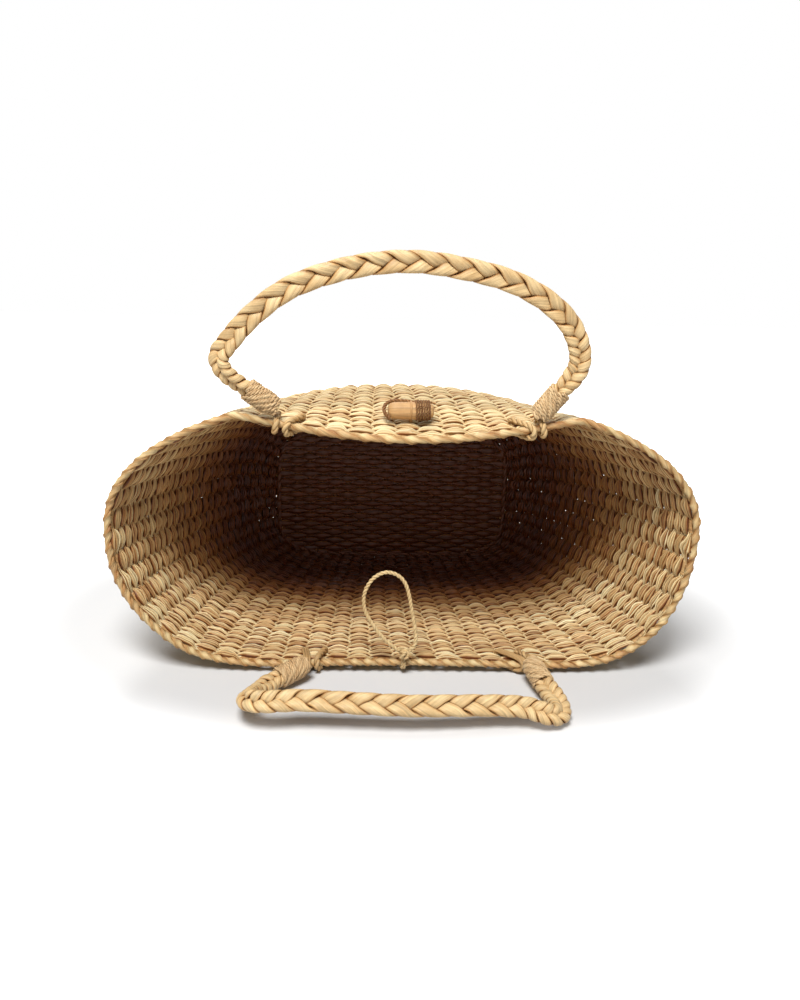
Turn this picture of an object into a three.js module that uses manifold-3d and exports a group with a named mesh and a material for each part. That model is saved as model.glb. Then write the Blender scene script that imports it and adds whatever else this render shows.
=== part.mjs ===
// Market basket, hand woven from flattened reed, lying on its back wall with its mouth to the front.
// Millimetres. +X runs across the mouth, +Y from the mouth towards the base, +Z up.
import * as THREE from 'three';
import { mergeVertices } from 'three/addons/utils/BufferGeometryUtils.js';
import Module from 'manifold-3d';

const wasm = await Module();
wasm.setup();

// Clearances: between touching pieces, of a strip round the rim, and along the wall's four corners
const GAP = 0.3;
const STRIP_CLEARANCE = 0.6;
const SEAM_GAP = 0.8;

// Basket body: sizes of the mouth, the base and the woven wall
const MOUTH_WIDTH = 407;
const MOUTH_BOTTOM = 7.5;
const MOUTH_WIDEST = 106;
const MOUTH_TOP = 205.5;
const BASE_WIDTH = 192;
const BASE_BOTTOM = 13;
const BASE_WIDEST = 68;
const BASE_TOP = 127;
const BASKET_HEIGHT = 186;
const WALL_THICKNESS = 4.5;
const BELLY_DROP = 1.2;
const BASE_THICKNESS = 4;
const BASE_PROUD = 0.6;

// How the walls swell on their way from the base to the mouth
const SIDE_FLARE = 0.3;
const WALL_BULGE = 0.47;
const SHOULDER_SHARE = 0.6;
const SHOULDER_POWER = 3.5;
const WIDEST_POWER = 1.6;

// The toggle side of the rim droops between the feet of its handle, and the back corners lift off the floor
const DROOP_DEPTH = 33.5;
const DROOP_HALF_WIDTH = 116;
const DROOP_START = 0.35;
const DROOP_POWER = { along: 1.7, across: 1.1 };
const CORNER_HALF_WIDTH = 150;
const LEFT_CORNER_LIFT = 9;

// Squareness of the cross-section: 2 is an ellipse, more is a rounded box
const BASE_SQUARENESS = 4.6;
const FRONT_SQUARENESS = { across: 2.0, up: 2.25 };
const BACK_SQUARENESS = { across: 5.6, up: 2.1 };

// Weave: stakes round the wall, shared between broad walls and end walls
const BROAD_STAKES = 18;
const END_STAKES = 14;
const STAKES = 2 * (BROAD_STAKES + END_STAKES);
const WALL_ROWS = 20;
const SECTION_SAMPLES = 720;

// Relief of the weave: the wall goes out and in from stake to stake and from row to row.
// It levels out at the base, below the rim where the lashings sit, and where the wall lies on the floor.
const RELIEF_DEPTH = 2;
const RELIEF_START = [0.02, 0.1];
const RELIEF_END = [0.78, 0.86];
const RELIEF_ABOVE_FLOOR = 3;

// Rolled border that finishes the rim
const BORDER_RADIUS = 4;
const BORDER_SIDES = 8;

// Handles: a flat-sided plait with bound ends. Reaches are measured from the pivot line through the rim
const PLAIT_WIDTH = 13.4;
const PLAIT_THICKNESS = 12;
const PLAIT_SIDES = 10;
const BOUND_CORE_RADIUS = 4.3;
const BINDING_LENGTH = 22;
const BINDING_TURNS = 5;
const BINDING_CORD_RADIUS = 1.55;
const BINDING_STEPS = 12;
const BINDING_SIDES = 5;
const FOOT_REACH = 9.6;
const BINDING_REACH = 8;
const FOOT_TAPER = [[0, 0.45], [0.5, 0.9]];
const ARCH_STRAIGHT = 5;
const ARCH_STEPS = 44;

// Lashings: strips that wrap the rim through a hole below it and carry the handles
const STRIP_WIDTH = 5;
const STRIP_THICKNESS = 2.4;
const STRIP_SIDES = 8;
const HOLE_BELOW_RIM = 16;
const STRIP_SPREAD = 3.2;
const HOLE_CLEARANCE = 1.1;
const STRIP_LEG_SHARE = 0.62;
const STRIP_LEG_BOW = 0.5;
const STRIP_TURN = 1.1;

// Front handle, which stands up. turn is its angle about the rim, from 0 straight into the basket.
// The arch lists places as [across, reach, sink], where sink is towards the mouth or the floor.
// At each foot, lean turns the bound end sideways, droop turns it down and lift raises its tip.
// holes are the places of its two lashing holes, measured across from the foot.
const FRONT_HANDLE = {
  name: 'front_handle',
  side: 1,
  feet: [-84, 85],
  turn: 90,
  arch: [
    [-121, 36, 0], [-124, 45, 0], [-117, 56, 0], [-103, 72, 0], [-80, 90, 0], [-42, 104, 0], [-3, 109, 0],
    [33, 105, 0], [64, 97, 0], [88, 84, 0], [102, 70, 0], [109, 54, 0], [109, 43, 0],
  ],
  lean: [-56, 38],
  droop: 0,
  lift: 0,
  holes: [[-5, 12], [-14, 4]],
};

// Back handle, which lies forward over the floor: a squarer arch whose left corner stands higher
const BACK_HANDLE = {
  name: 'back_handle',
  side: -1,
  feet: [-62, 90],
  turn: 180,
  arch: [
    [-95, 41, -2], [-101, 53, -5], [-104, 67, -10], [-101, 78, -13], [-91, 82, -14.6], [-69, 80, -14.6],
    [-31, 81, -13], [0, 82, -12], [30, 80, -11], [55, 77, -9.6], [78, 76, -7.6], [92, 78, -4],
    [100, 74, -1.5], [103, 63, -0.5], [101, 48, -0.5],
  ],
  lean: [-50, 14],
  droop: 8,
  lift: 6,
  holes: [[-7, 8], [-18, -3]],
};

// Toggle on the front wall
const TOGGLE_LENGTH = 31;
const TOGGLE_RADIUS = 5.6;
const TOGGLE_BELOW_RIM = 24;
const TOGGLE_ACROSS = 2;
const TOGGLE_STANDOFF = 1.7;
const TOGGLE_HALF_PROFILE = [[1, 0.7], [0.9, 0.93], [0.55, 1], [0, 1]];
const TOGGLE_SIDES = 14;
const TOGGLE_WRAP_TURNS = 4;
const TOGGLE_WRAP_RADIUS = 1.1;
const TOGGLE_WRAP_SPACING = 0.5;
const STEM_RADIUS = 1.6;
const BAND_WIDTH = 3.2;
const BAND_THICKNESS = 1.4;
const STEM_CLEARANCE = 0.4;
const STEM_INTO_KNOT = 1;
const TOGGLE_KNOT_RADIUS = 3.4;
const TOGGLE_KNOT_STRETCH = 1.25;

// Closure loop on the back rim: a stiff two-ply cord that reaches over to the toggle
const LOOP_CORD_RADIUS = 1.5;
const LOOP_LEAN = 15;
const LOOP_ACROSS = 1.5;
const KNOT_RADIUS = 3.8;
const KNOT_TILT = 45;
const HITCH_WIDTH = 3;
const HITCH_CLEARANCE = 0.9;
const LOOP_STEPS = 32;
const LOOP_ROUTE = [
  [7, 6], [8, 13], [6.8, 21], [4.6, 32], [2.7, 41.9], [-0.6, 51], [-6, 56],
  [-13.6, 57.7], [-21, 54.5], [-26, 48.5], [-28.8, 40],
  [-27.5, 30], [-22, 20.6], [-14.3, 11], [-8.2, 5.8],
];

// Colours of the reed
const reed = new THREE.Color(0.69, 0.53, 0.31);
const lightReed = new THREE.Color(0.76, 0.6, 0.37);
const darkReed = new THREE.Color(0.6, 0.42, 0.22);

function reedMaterial(colour) {
  return new THREE.MeshStandardMaterial({ color: colour, roughness: 0.72, metalness: 0 });
}

// Small helpers
const radians = THREE.MathUtils.degToRad;
const lerp = THREE.MathUtils.lerp;
const xAxis = new THREE.Vector3(1, 0, 0);
const zAxis = new THREE.Vector3(0, 0, 1);

function signedPower(value, power) {
  return Math.sign(value) * Math.abs(value) ** power;
}

function along(point, direction, distance) {
  return point.clone().addScaledVector(direction, distance);
}

// Wall surface. share runs from 0 at the base's edge to 1 at the mouth, angle from 0 at +X to 90 at the top
function wallSurface(angle, share) {
  const cos = Math.cos(angle);
  const sin = Math.sin(angle);
  const rest = 1 - share;
  const top = sin >= 0;
  const early = 1 - rest ** 5;
  const steady = 1 - rest ** 2;
  const wanted = top ? FRONT_SQUARENESS : BACK_SQUARENESS;
  const blend = top ? early : steady;
  const squareAcross = lerp(BASE_SQUARENESS, wanted.across, blend);
  const squareUp = lerp(BASE_SQUARENESS, wanted.up, blend);
  const halfWidth = lerp(BASE_WIDTH / 2, MOUTH_WIDTH / 2, share + SIDE_FLARE * share * rest);
  const shoulder = lerp(share, 1 - rest ** SHOULDER_POWER, SHOULDER_SHARE);
  const high = lerp(BASE_TOP, MOUTH_TOP, shoulder);
  const widest = lerp(BASE_WIDEST, MOUTH_WIDEST, 1 - rest ** WIDEST_POWER);
  const belly = BELLY_DROP * Math.sin(Math.PI * share);
  const lift = MOUTH_BOTTOM * share ** 4;
  const low = BASE_BOTTOM * rest ** 5 + lift - belly;
  const x = halfWidth * signedPower(cos, 2 / squareAcross);
  const y = BASKET_HEIGHT * (rest + WALL_BULGE * share * rest * rest);
  let z = widest + (top ? high - widest : widest - low) * signedPower(sin, 2 / squareUp);
  if (top) {
    const dipAcross = Math.max(0, 1 - (x / DROOP_HALF_WIDTH) ** 2) ** DROOP_POWER.across;
    const dipAlong = Math.max(0, (share - DROOP_START) / (1 - DROOP_START)) ** DROOP_POWER.along;
    z -= DROOP_DEPTH * dipAlong * dipAcross;
  } else {
    z -= lift * Math.min(1, (x / CORNER_HALF_WIDTH) ** 2) * sin * sin;
    if (cos < 0) z += LEFT_CORNER_LIFT * share * share * (2 * sin * cos) ** 2;
  }
  return new THREE.Vector3(x, y, z);
}

// One cross-section of the wall, measured along its line so that the stakes are evenly spaced
const sectionCache = new Map();
function section(share) {
  if (!sectionCache.has(share)) {
    const points = [];
    const lengths = [0];
    for (let i = 0; i <= SECTION_SAMPLES; i += 1) {
      points.push(wallSurface(Math.PI / 2 + (2 * Math.PI * i) / SECTION_SAMPLES, share));
      if (i > 0) lengths.push(lengths[i - 1] + points[i].distanceTo(points[i - 1]));
    }
    sectionCache.set(share, { points, lengths });
  }
  return sectionCache.get(share);
}

function wallPoint(round, share) {
  const { points, lengths } = section(share);
  const wanted = THREE.MathUtils.euclideanModulo(round, 1) * lengths[SECTION_SAMPLES];
  let low = 0;
  let high = SECTION_SAMPLES;
  while (high - low > 1) {
    const middle = (low + high) >> 1;
    if (lengths[middle] <= wanted) low = middle;
    else high = middle;
  }
  return points[low].clone().lerp(points[high], (wanted - lengths[low]) / (lengths[high] - lengths[low]));
}

// Steps over which the wall's directions are taken
const ROUND_STEP = 0.004;
const SHARE_STEP = 0.012;

// Local frame of the wall: the outer surface, its outward normal and the direction towards the mouth
function wallFrame(round, share) {
  const before = Math.max(0, share - SHARE_STEP);
  const after = Math.min(1, share + SHARE_STEP);
  const mouthward = wallPoint(round, after).sub(wallPoint(round, before)).normalize();
  const behind = wallPoint(round - ROUND_STEP, share);
  const sideways = wallPoint(round + ROUND_STEP, share).sub(behind).normalize();
  const outward = sideways.clone().cross(mouthward).normalize();
  return { surface: wallPoint(round, share), outward, mouthward };
}

// The rim's share of the wall: the woven wall stops where the border begins
const BORDER_SHARE = 1 - (2 * BORDER_RADIUS + GAP) / BASKET_HEIGHT;

function rimCentre(round) {
  const frame = wallFrame(round, BORDER_SHARE);
  const middle = along(frame.surface, frame.outward, -WALL_THICKNESS / 2);
  return { ...frame, centre: along(middle, frame.mouthward, BORDER_RADIUS + GAP) };
}

// How far round the wall a place lies that is given by its distance across, on the top or on the bottom
function roundAt(across, side) {
  let low = side > 0 ? -0.25 : 0.25;
  let high = low + 0.5;
  for (let i = 0; i < 40; i += 1) {
    const middle = (low + high) / 2;
    const x = rimCentre(middle).centre.x;
    if ((x > across) === (side > 0)) low = middle;
    else high = middle;
  }
  return low;
}

// A closed body from rings of points: joined end to end, or closed by a cap at each end
function loft(rings, closed = false) {
  const sides = rings[0].length;
  const position = [];
  const index = [];
  for (const ring of rings) {
    for (const point of ring) position.push(point.x, point.y, point.z);
  }
  const last = closed ? rings.length : rings.length - 1;
  for (let i = 0; i < last; i += 1) {
    const here = i * sides;
    const next = ((i + 1) % rings.length) * sides;
    for (let k = 0; k < sides; k += 1) {
      const after = (k + 1) % sides;
      index.push(here + k, here + after, next + after);
      index.push(here + k, next + after, next + k);
    }
  }
  if (!closed) {
    const end = (rings.length - 1) * sides;
    for (let k = 1; k < sides - 1; k += 1) {
      index.push(0, k + 1, k);
      index.push(end, end + k, end + k + 1);
    }
  }
  return closedBody(position, index);
}

// A curved slab between two grids of points, with its four edges closed
function slab(outer, inner, rows, columns) {
  const position = [...outer, ...inner].flatMap((point) => point.toArray());
  const index = [];
  const wide = columns + 1;
  const quad = (a, b, c, d) => index.push(a, b, c, a, c, d);
  for (let row = 0; row < rows; row += 1) {
    for (let column = 0; column < columns; column += 1) {
      const here = row * wide + column;
      const behind = outer.length + here;
      quad(here, here + 1, here + wide + 1, here + wide);
      quad(behind, behind + wide, behind + wide + 1, behind + 1);
    }
  }
  const border = [];
  for (let column = 0; column < columns; column += 1) border.push(column);
  for (let row = 0; row < rows; row += 1) border.push(row * wide + columns);
  for (let column = columns; column > 0; column -= 1) border.push(rows * wide + column);
  for (let row = rows; row > 0; row -= 1) border.push(row * wide);
  border.forEach((here, i) => {
    const next = border[(i + 1) % border.length];
    quad(here, outer.length + here, outer.length + next, next);
  });
  return closedBody(position, index);
}

function closedBody(position, index) {
  const geometry = new THREE.BufferGeometry();
  geometry.setAttribute('position', new THREE.Float32BufferAttribute(position, 3));
  geometry.setIndex(index);
  if (volumeOf(geometry) < 0) turnInsideOut(geometry);
  geometry.computeVertexNormals();
  return geometry;
}

function volumeOf(geometry) {
  const position = geometry.getAttribute('position');
  const corner = [new THREE.Vector3(), new THREE.Vector3(), new THREE.Vector3()];
  let volume = 0;
  for (let i = 0; i < geometry.index.count; i += 3) {
    corner.forEach((point, k) => point.fromBufferAttribute(position, geometry.index.getX(i + k)));
    volume += corner[0].dot(corner[1].cross(corner[2])) / 6;
  }
  return volume;
}

function turnInsideOut(geometry) {
  const index = geometry.index;
  for (let i = 0; i < index.count; i += 3) {
    const second = index.getX(i + 1);
    index.setX(i + 1, index.getX(i + 2));
    index.setX(i + 2, second);
  }
}

// A ring of points round a centre, in the plane of two unit directions
function oval(centre, first, second, halfFirst, halfSecond, sides, turn = 0) {
  const ring = [];
  for (let k = 0; k < sides; k += 1) {
    const angle = turn + (2 * Math.PI * k) / sides;
    const point = along(centre, first, halfFirst * Math.cos(angle));
    ring.push(point.addScaledVector(second, halfSecond * Math.sin(angle)));
  }
  return ring;
}

// Boolean cuts
function toManifold(geometry) {
  const plain = geometry.clone();
  plain.deleteAttribute('normal');
  plain.deleteAttribute('uv');
  const merged = mergeVertices(plain, 1e-4);
  return new wasm.Manifold(new wasm.Mesh({
    numProp: 3,
    vertProperties: new Float32Array(merged.getAttribute('position').array),
    triVerts: new Uint32Array(merged.index.array),
  }));
}

function fromManifold(solid) {
  const mesh = solid.getMesh();
  const geometry = new THREE.BufferGeometry();
  geometry.setAttribute('position', new THREE.Float32BufferAttribute(mesh.vertProperties, 3));
  geometry.setIndex([...mesh.triVerts]);
  geometry.computeVertexNormals();
  return geometry;
}

// A round cutter whose axis runs through a point along a direction
function drill(centre, direction, radius, length) {
  const cutter = new THREE.CylinderGeometry(radius, radius, length, 10);
  cutter.applyQuaternion(new THREE.Quaternion().setFromUnitVectors(new THREE.Vector3(0, 1, 0), direction));
  cutter.translate(centre.x, centre.y, centre.z);
  return cutter;
}

// Woven wall, in four panels that meet at the corners
const PANELS = [
  { name: 'front_wall', first: -BROAD_STAKES / 2, stakes: BROAD_STAKES },
  { name: 'left_end_wall', first: BROAD_STAKES / 2, stakes: END_STAKES },
  { name: 'back_wall', first: BROAD_STAKES / 2 + END_STAKES, stakes: BROAD_STAKES },
  { name: 'right_end_wall', first: BROAD_STAKES * 1.5 + END_STAKES, stakes: END_STAKES },
];

function reliefDepth(share, height) {
  const starts = THREE.MathUtils.smoothstep(share, ...RELIEF_START);
  const ends = 1 - THREE.MathUtils.smoothstep(share, ...RELIEF_END);
  const lifted = THREE.MathUtils.clamp(height / RELIEF_ABOVE_FLOOR, 0, 1);
  return RELIEF_DEPTH * starts * ends * lifted;
}

function wallPanel(panel, holes) {
  const outer = [];
  const inner = [];
  for (let row = 0; row <= WALL_ROWS; row += 1) {
    const share = (BORDER_SHARE * row) / WALL_ROWS;
    for (let column = 0; column <= panel.stakes; column += 1) {
      const seam = column === 0 ? 1 : column === panel.stakes ? -1 : 0;
      const round = (panel.first + column) / STAKES;
      const frame = wallFrame(round, share);
      const neighbour = wallPoint(round + ROUND_STEP, share).sub(frame.surface).normalize();
      const edge = along(frame.surface, neighbour, (seam * SEAM_GAP) / 2);
      const relief = reliefDepth(share, edge.z);
      const goesIn = (panel.first + column + row) % 2 === 0;
      const inside = along(edge, frame.outward, (goesIn ? 0 : relief) - WALL_THICKNESS);
      if (goesIn) edge.addScaledVector(frame.outward, -relief);
      if (row === 0) inside.y = BASKET_HEIGHT;
      edge.z = Math.max(0, edge.z);
      outer.push(edge);
      inner.push(inside);
    }
  }
  let solid = toManifold(slab(outer, inner, WALL_ROWS, panel.stakes));
  for (const hole of holes) solid = solid.subtract(toManifold(hole));
  return fromManifold(solid);
}

// Rolled border all round the mouth
function rimBorder() {
  const rings = [];
  for (let i = 0; i < STAKES; i += 1) {
    const rim = rimCentre(i / STAKES);
    rings.push(oval(rim.centre, rim.outward, rim.mouthward, BORDER_RADIUS, BORDER_RADIUS, BORDER_SIDES));
  }
  return loft(rings, true);
}

// Woven base mat, let in between the wall's lower edges
function baseMat() {
  const outline = new THREE.Shape();
  for (let i = 0; i < STAKES; i += 1) {
    const frame = wallFrame(i / STAKES, 0);
    const flat = new THREE.Vector3(frame.outward.x, 0, frame.outward.z);
    const inset = along(frame.surface, flat, -WALL_THICKNESS).addScaledVector(flat.normalize(), -GAP);
    if (i === 0) outline.moveTo(inset.x, inset.z);
    else outline.lineTo(inset.x, inset.z);
  }
  outline.closePath();
  const mat = new THREE.ExtrudeGeometry(outline, { depth: BASE_THICKNESS, bevelEnabled: false });
  mat.rotateX(Math.PI / 2);
  mat.translate(0, BASKET_HEIGHT + BASE_PROUD, 0);
  return mat;
}

// A strip that wraps the rim: out over the border, down both faces and through a hole below it
function rimStrip(side, acrossAtRim, acrossAtHole, width) {
  const half = STRIP_THICKNESS / 2;
  const overBorder = BORDER_RADIUS + STRIP_CLEARANCE + half;
  const overWall = WALL_THICKNESS / 2 + STRIP_CLEARANCE + half;
  const profile = [-90, -60, -30, 0, 30, 60, 90].map((degrees) => {
    const angle = radians(degrees);
    return [-overBorder * Math.cos(angle), overBorder * Math.sin(angle)];
  });
  profile.push([HOLE_BELOW_RIM * STRIP_LEG_SHARE, overWall + STRIP_LEG_BOW]);
  profile.push([HOLE_BELOW_RIM - STRIP_TURN, overWall]);
  profile.push([HOLE_BELOW_RIM, 0]);
  profile.push([HOLE_BELOW_RIM - STRIP_TURN, -overWall]);
  profile.push([HOLE_BELOW_RIM * STRIP_LEG_SHARE, -overWall - STRIP_LEG_BOW]);
  const stations = profile.map(([below, out]) => {
    const slide = THREE.MathUtils.clamp((below + overBorder) / (HOLE_BELOW_RIM + overBorder), 0, 1);
    const rim = rimCentre(roundAt(lerp(acrossAtRim, acrossAtHole, slide), side));
    const point = along(rim.centre, rim.mouthward, -below).addScaledVector(rim.outward, out);
    return { point, sideways: rim.mouthward.clone().cross(rim.outward) };
  });
  const rings = stations.map(({ point, sideways }, i) => {
    const before = stations[(i + stations.length - 1) % stations.length].point;
    const after = stations[(i + 1) % stations.length].point;
    const forward = after.clone().sub(before).normalize();
    const face = forward.clone().cross(sideways).normalize();
    const across = face.clone().cross(forward).normalize();
    return oval(point, across, face, width / 2, half, STRIP_SIDES, Math.PI / STRIP_SIDES);
  });
  return loft(rings, true);
}

function rimStripHole(side, across, radius) {
  const rim = rimCentre(roundAt(across, side));
  return drill(along(rim.centre, rim.mouthward, -HOLE_BELOW_RIM), rim.outward, radius, WALL_THICKNESS * 3);
}

// One handle: its pivot line, plait and bindings, drawn flat and then turned to its lean
function handlePivot(handle) {
  const [left, right] = handle.feet.map((across) => rimCentre(roundAt(across, handle.side)).centre);
  const middle = left.add(right).multiplyScalar(0.5);
  return new THREE.Vector3(0, middle.y, middle.z);
}

function footLine(handle, end) {
  const lean = radians(handle.lean[end]);
  const droop = radians(handle.droop);
  const flatDirection = new THREE.Vector3(Math.sin(lean), Math.cos(lean), 0);
  const direction = flatDirection.multiplyScalar(Math.cos(droop)).addScaledVector(zAxis, Math.sin(droop));
  const tip = new THREE.Vector3(handle.feet[end], Math.sqrt(FOOT_REACH ** 2 - handle.lift ** 2), -handle.lift);
  const cornerDrop = (BOUND_CORE_RADIUS + BINDING_CORD_RADIUS * 2 + GAP) * Math.abs(Math.sin(lean));
  const start = along(tip, direction, (BINDING_REACH + cornerDrop - tip.y) / direction.y);
  return { tip, direction, start, end: along(start, direction, BINDING_LENGTH) };
}

function footStations(line, forward) {
  const taper = FOOT_TAPER.map(([at, share]) => ({
    point: along(line.tip, line.direction, at * BOUND_CORE_RADIUS),
    width: share * BOUND_CORE_RADIUS,
    thickness: share * BOUND_CORE_RADIUS,
    forward,
  }));
  const core = { width: BOUND_CORE_RADIUS, thickness: BOUND_CORE_RADIUS, forward };
  return [...taper, { ...core, point: line.start }, { ...core, point: line.end }];
}

function plait(handle) {
  const [left, right] = [0, 1].map((end) => footLine(handle, end));
  const arch = handle.arch.map((place) => new THREE.Vector3(...place));
  const curve = new THREE.CatmullRomCurve3([
    left.end,
    along(left.end, left.direction, ARCH_STRAIGHT),
    ...arch,
    along(right.end, right.direction, ARCH_STRAIGHT),
    right.end,
  ], false, 'centripetal');
  const stations = footStations(left, left.direction);
  for (let i = 1; i < ARCH_STEPS; i += 1) {
    stations.push({
      point: curve.getPointAt(i / ARCH_STEPS),
      width: PLAIT_WIDTH / 2,
      thickness: PLAIT_THICKNESS / 2,
      forward: curve.getTangentAt(i / ARCH_STEPS),
    });
  }
  stations.push(...footStations(right, right.direction.clone().negate()).reverse());
  const rings = stations.map(({ point, width, thickness, forward }) => {
    const across = forward.clone().cross(zAxis).normalize();
    return oval(point, across, zAxis, width, thickness, PLAIT_SIDES);
  });
  return loft(rings);
}

// A cord wound as one unbroken helix round a straight line
function windingCentres(start, direction, radius, turns, pitch, steps) {
  const across = zAxis.clone().cross(direction).normalize();
  const side = direction.clone().cross(across);
  const centres = [];
  for (let i = 0; i <= turns * steps; i += 1) {
    const angle = (2 * Math.PI * i) / steps;
    const out = side.clone().multiplyScalar(Math.cos(angle)).addScaledVector(across, Math.sin(angle));
    const onAxis = along(start, direction, (pitch * i) / steps);
    centres.push({ point: along(onAxis, out, radius), out });
  }
  return centres;
}

function windingBody(centres, direction, radius, sides) {
  const rings = centres.map(({ point, out }) => oval(point, out, direction, radius, radius, sides));
  return loft(rings);
}

// Prints the least distance between the surfaces of neighbouring turns
function printLeastGap(name, centres, steps, radius) {
  let least = Infinity;
  for (let i = 0; i < centres.length; i += 1) {
    for (let k = i + Math.ceil(steps / 2); k < centres.length; k += 1) {
      least = Math.min(least, centres[i].point.distanceTo(centres[k].point) - 2 * radius);
    }
  }
  console.log(`${name}: least gap ${least.toFixed(2)}`);
}

function handleBinding(handle, end) {
  const line = footLine(handle, end);
  const radius = BOUND_CORE_RADIUS + GAP + BINDING_CORD_RADIUS;
  const pitch = (BINDING_LENGTH - 2 * BINDING_CORD_RADIUS) / BINDING_TURNS;
  const start = along(line.start, line.direction, BINDING_CORD_RADIUS);
  const centres = windingCentres(start, line.direction, radius, BINDING_TURNS, pitch, BINDING_STEPS);
  printLeastGap(`${handle.name} binding`, centres, BINDING_STEPS, BINDING_CORD_RADIUS);
  return windingBody(centres, line.direction, BINDING_CORD_RADIUS, BINDING_SIDES);
}

// Toggle: a roll of reed held by a band and a stem that passes through the wall to a knot
const toggleRound = roundAt(TOGGLE_ACROSS, 1);
const toggleFrame = wallFrame(toggleRound, 1 - TOGGLE_BELOW_RIM / BASKET_HEIGHT);

function toggleRoll() {
  const mirrored = TOGGLE_HALF_PROFILE.map(([out, at]) => [out, -at]).reverse();
  const half = TOGGLE_LENGTH / 2;
  const outline = [...mirrored, ...TOGGLE_HALF_PROFILE].map(([out, at]) => (
    new THREE.Vector2(out * TOGGLE_RADIUS, at * half)
  ));
  return new THREE.LatheGeometry(outline, TOGGLE_SIDES).rotateZ(Math.PI / 2);
}

function toggleWrap() {
  const radius = TOGGLE_RADIUS + GAP + TOGGLE_WRAP_RADIUS;
  const pitch = 2 * TOGGLE_WRAP_RADIUS + TOGGLE_WRAP_SPACING;
  const start = xAxis.clone().multiplyScalar(BAND_WIDTH / 2 + GAP + TOGGLE_WRAP_RADIUS);
  const centres = windingCentres(start, xAxis, radius, TOGGLE_WRAP_TURNS, pitch, BINDING_STEPS);
  printLeastGap('toggle wrap', centres, BINDING_STEPS, TOGGLE_WRAP_RADIUS);
  return windingBody(centres, xAxis, TOGGLE_WRAP_RADIUS, BINDING_SIDES);
}

function toggleBand(rollHeight) {
  const inside = TOGGLE_RADIUS + GAP;
  const outside = inside + BAND_THICKNESS;
  const half = BAND_WIDTH / 2;
  const profile = [[inside, -half], [outside, -half], [outside, half], [inside, half], [inside, -half]];
  const outline = profile.map(([radius, at]) => new THREE.Vector2(radius, at));
  const ring = new THREE.LatheGeometry(outline, TOGGLE_SIDES).rotateZ(Math.PI / 2);
  const stemTop = -(inside + BAND_THICKNESS / 2);
  const stemEnd = -(rollHeight + WALL_THICKNESS + STEM_INTO_KNOT);
  const stem = new THREE.CylinderGeometry(STEM_RADIUS, STEM_RADIUS, stemTop - stemEnd, 10);
  stem.rotateX(Math.PI / 2);
  stem.translate(0, 0, (stemTop + stemEnd) / 2);
  return fromManifold(toManifold(ring).add(toManifold(stem)));
}

function toggleKnot(rollHeight) {
  const centre = -(rollHeight + WALL_THICKNESS + GAP + TOGGLE_KNOT_RADIUS);
  const ball = new THREE.SphereGeometry(TOGGLE_KNOT_RADIUS, 10, 8).scale(TOGGLE_KNOT_STRETCH, 1, 1);
  ball.translate(0, 0, centre);
  const socket = drill(new THREE.Vector3(0, 0, centre), zAxis, STEM_RADIUS + GAP, 6 * TOGGLE_KNOT_RADIUS);
  return fromManifold(toManifold(ball).subtract(toManifold(socket)));
}

// Closure loop with its knot and the hitch that holds it to the back rim
const loopRim = rimCentre(roundAt(LOOP_ACROSS, -1));
const knotReach = BORDER_RADIUS + GAP + KNOT_RADIUS + STRIP_THICKNESS;
const knotAbove = along(loopRim.centre, loopRim.mouthward, knotReach * Math.sin(radians(KNOT_TILT)));
const knotCentre = along(knotAbove, loopRim.outward, -knotReach * Math.cos(radians(KNOT_TILT)));

function closureLoop() {
  const route = LOOP_ROUTE.map(([x, y]) => new THREE.Vector3(x, y, 0));
  const reach = KNOT_RADIUS + GAP;
  const ends = [route[0], route.at(-1)].map((point) => point.clone().setLength(reach));
  const curve = new THREE.CatmullRomCurve3([ends[0], ...route, ends[1]], false, 'centripetal');
  console.log(`closure loop length ${curve.getLength().toFixed(1)}`);
  const outline = new THREE.Shape();
  outline.absarc(0, 0, LOOP_CORD_RADIUS, 0, 2 * Math.PI);
  const sweep = { extrudePath: curve, steps: LOOP_STEPS, curveSegments: 4, bevelEnabled: false };
  return new THREE.ExtrudeGeometry(outline, sweep);
}

// Assembly
const basket = new THREE.Group();

function addPiece(parent, name, geometry, colour) {
  const mesh = new THREE.Mesh(geometry, reedMaterial(colour));
  mesh.name = name;
  parent.add(mesh);
  return mesh;
}

const holes = { front_wall: [], back_wall: [] };
for (const handle of [FRONT_HANDLE, BACK_HANDLE]) {
  const wall = handle.side > 0 ? 'front_wall' : 'back_wall';
  handle.feet.forEach((across, end) => {
    const place = end === 0 ? 'left' : 'right';
    [-1, 1].forEach((hand, which) => {
      const letter = hand < 0 ? 'a' : 'b';
      const atHole = across + handle.holes[end][which];
      holes[wall].push(rimStripHole(handle.side, atHole, STRIP_WIDTH / 2 + HOLE_CLEARANCE));
      const strip = rimStrip(handle.side, across + hand * STRIP_SPREAD, atHole, STRIP_WIDTH);
      addPiece(basket, `${handle.name}_${place}_lashing_${letter}`, strip, lightReed);
    });
  });

  const turning = new THREE.Group();
  turning.position.copy(handlePivot(handle));
  turning.rotation.x = radians(handle.turn);
  basket.add(turning);
  addPiece(turning, `${handle.name}_plait`, plait(handle), lightReed);
  addPiece(turning, `${handle.name}_left_binding`, handleBinding(handle, 0), darkReed);
  addPiece(turning, `${handle.name}_right_binding`, handleBinding(handle, 1), darkReed);
}

holes.back_wall.push(rimStripHole(-1, LOOP_ACROSS, HITCH_WIDTH / 2 + HITCH_CLEARANCE));
addPiece(basket, 'closure_hitch', rimStrip(-1, LOOP_ACROSS, LOOP_ACROSS, HITCH_WIDTH), lightReed);
const knot = addPiece(basket, 'closure_knot', new THREE.SphereGeometry(KNOT_RADIUS, 12, 8), darkReed);
knot.position.copy(knotCentre);
const loop = addPiece(basket, 'closure_loop', closureLoop(), lightReed);
loop.position.copy(knotCentre);
loop.rotation.x = radians(90 - LOOP_LEAN);

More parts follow.
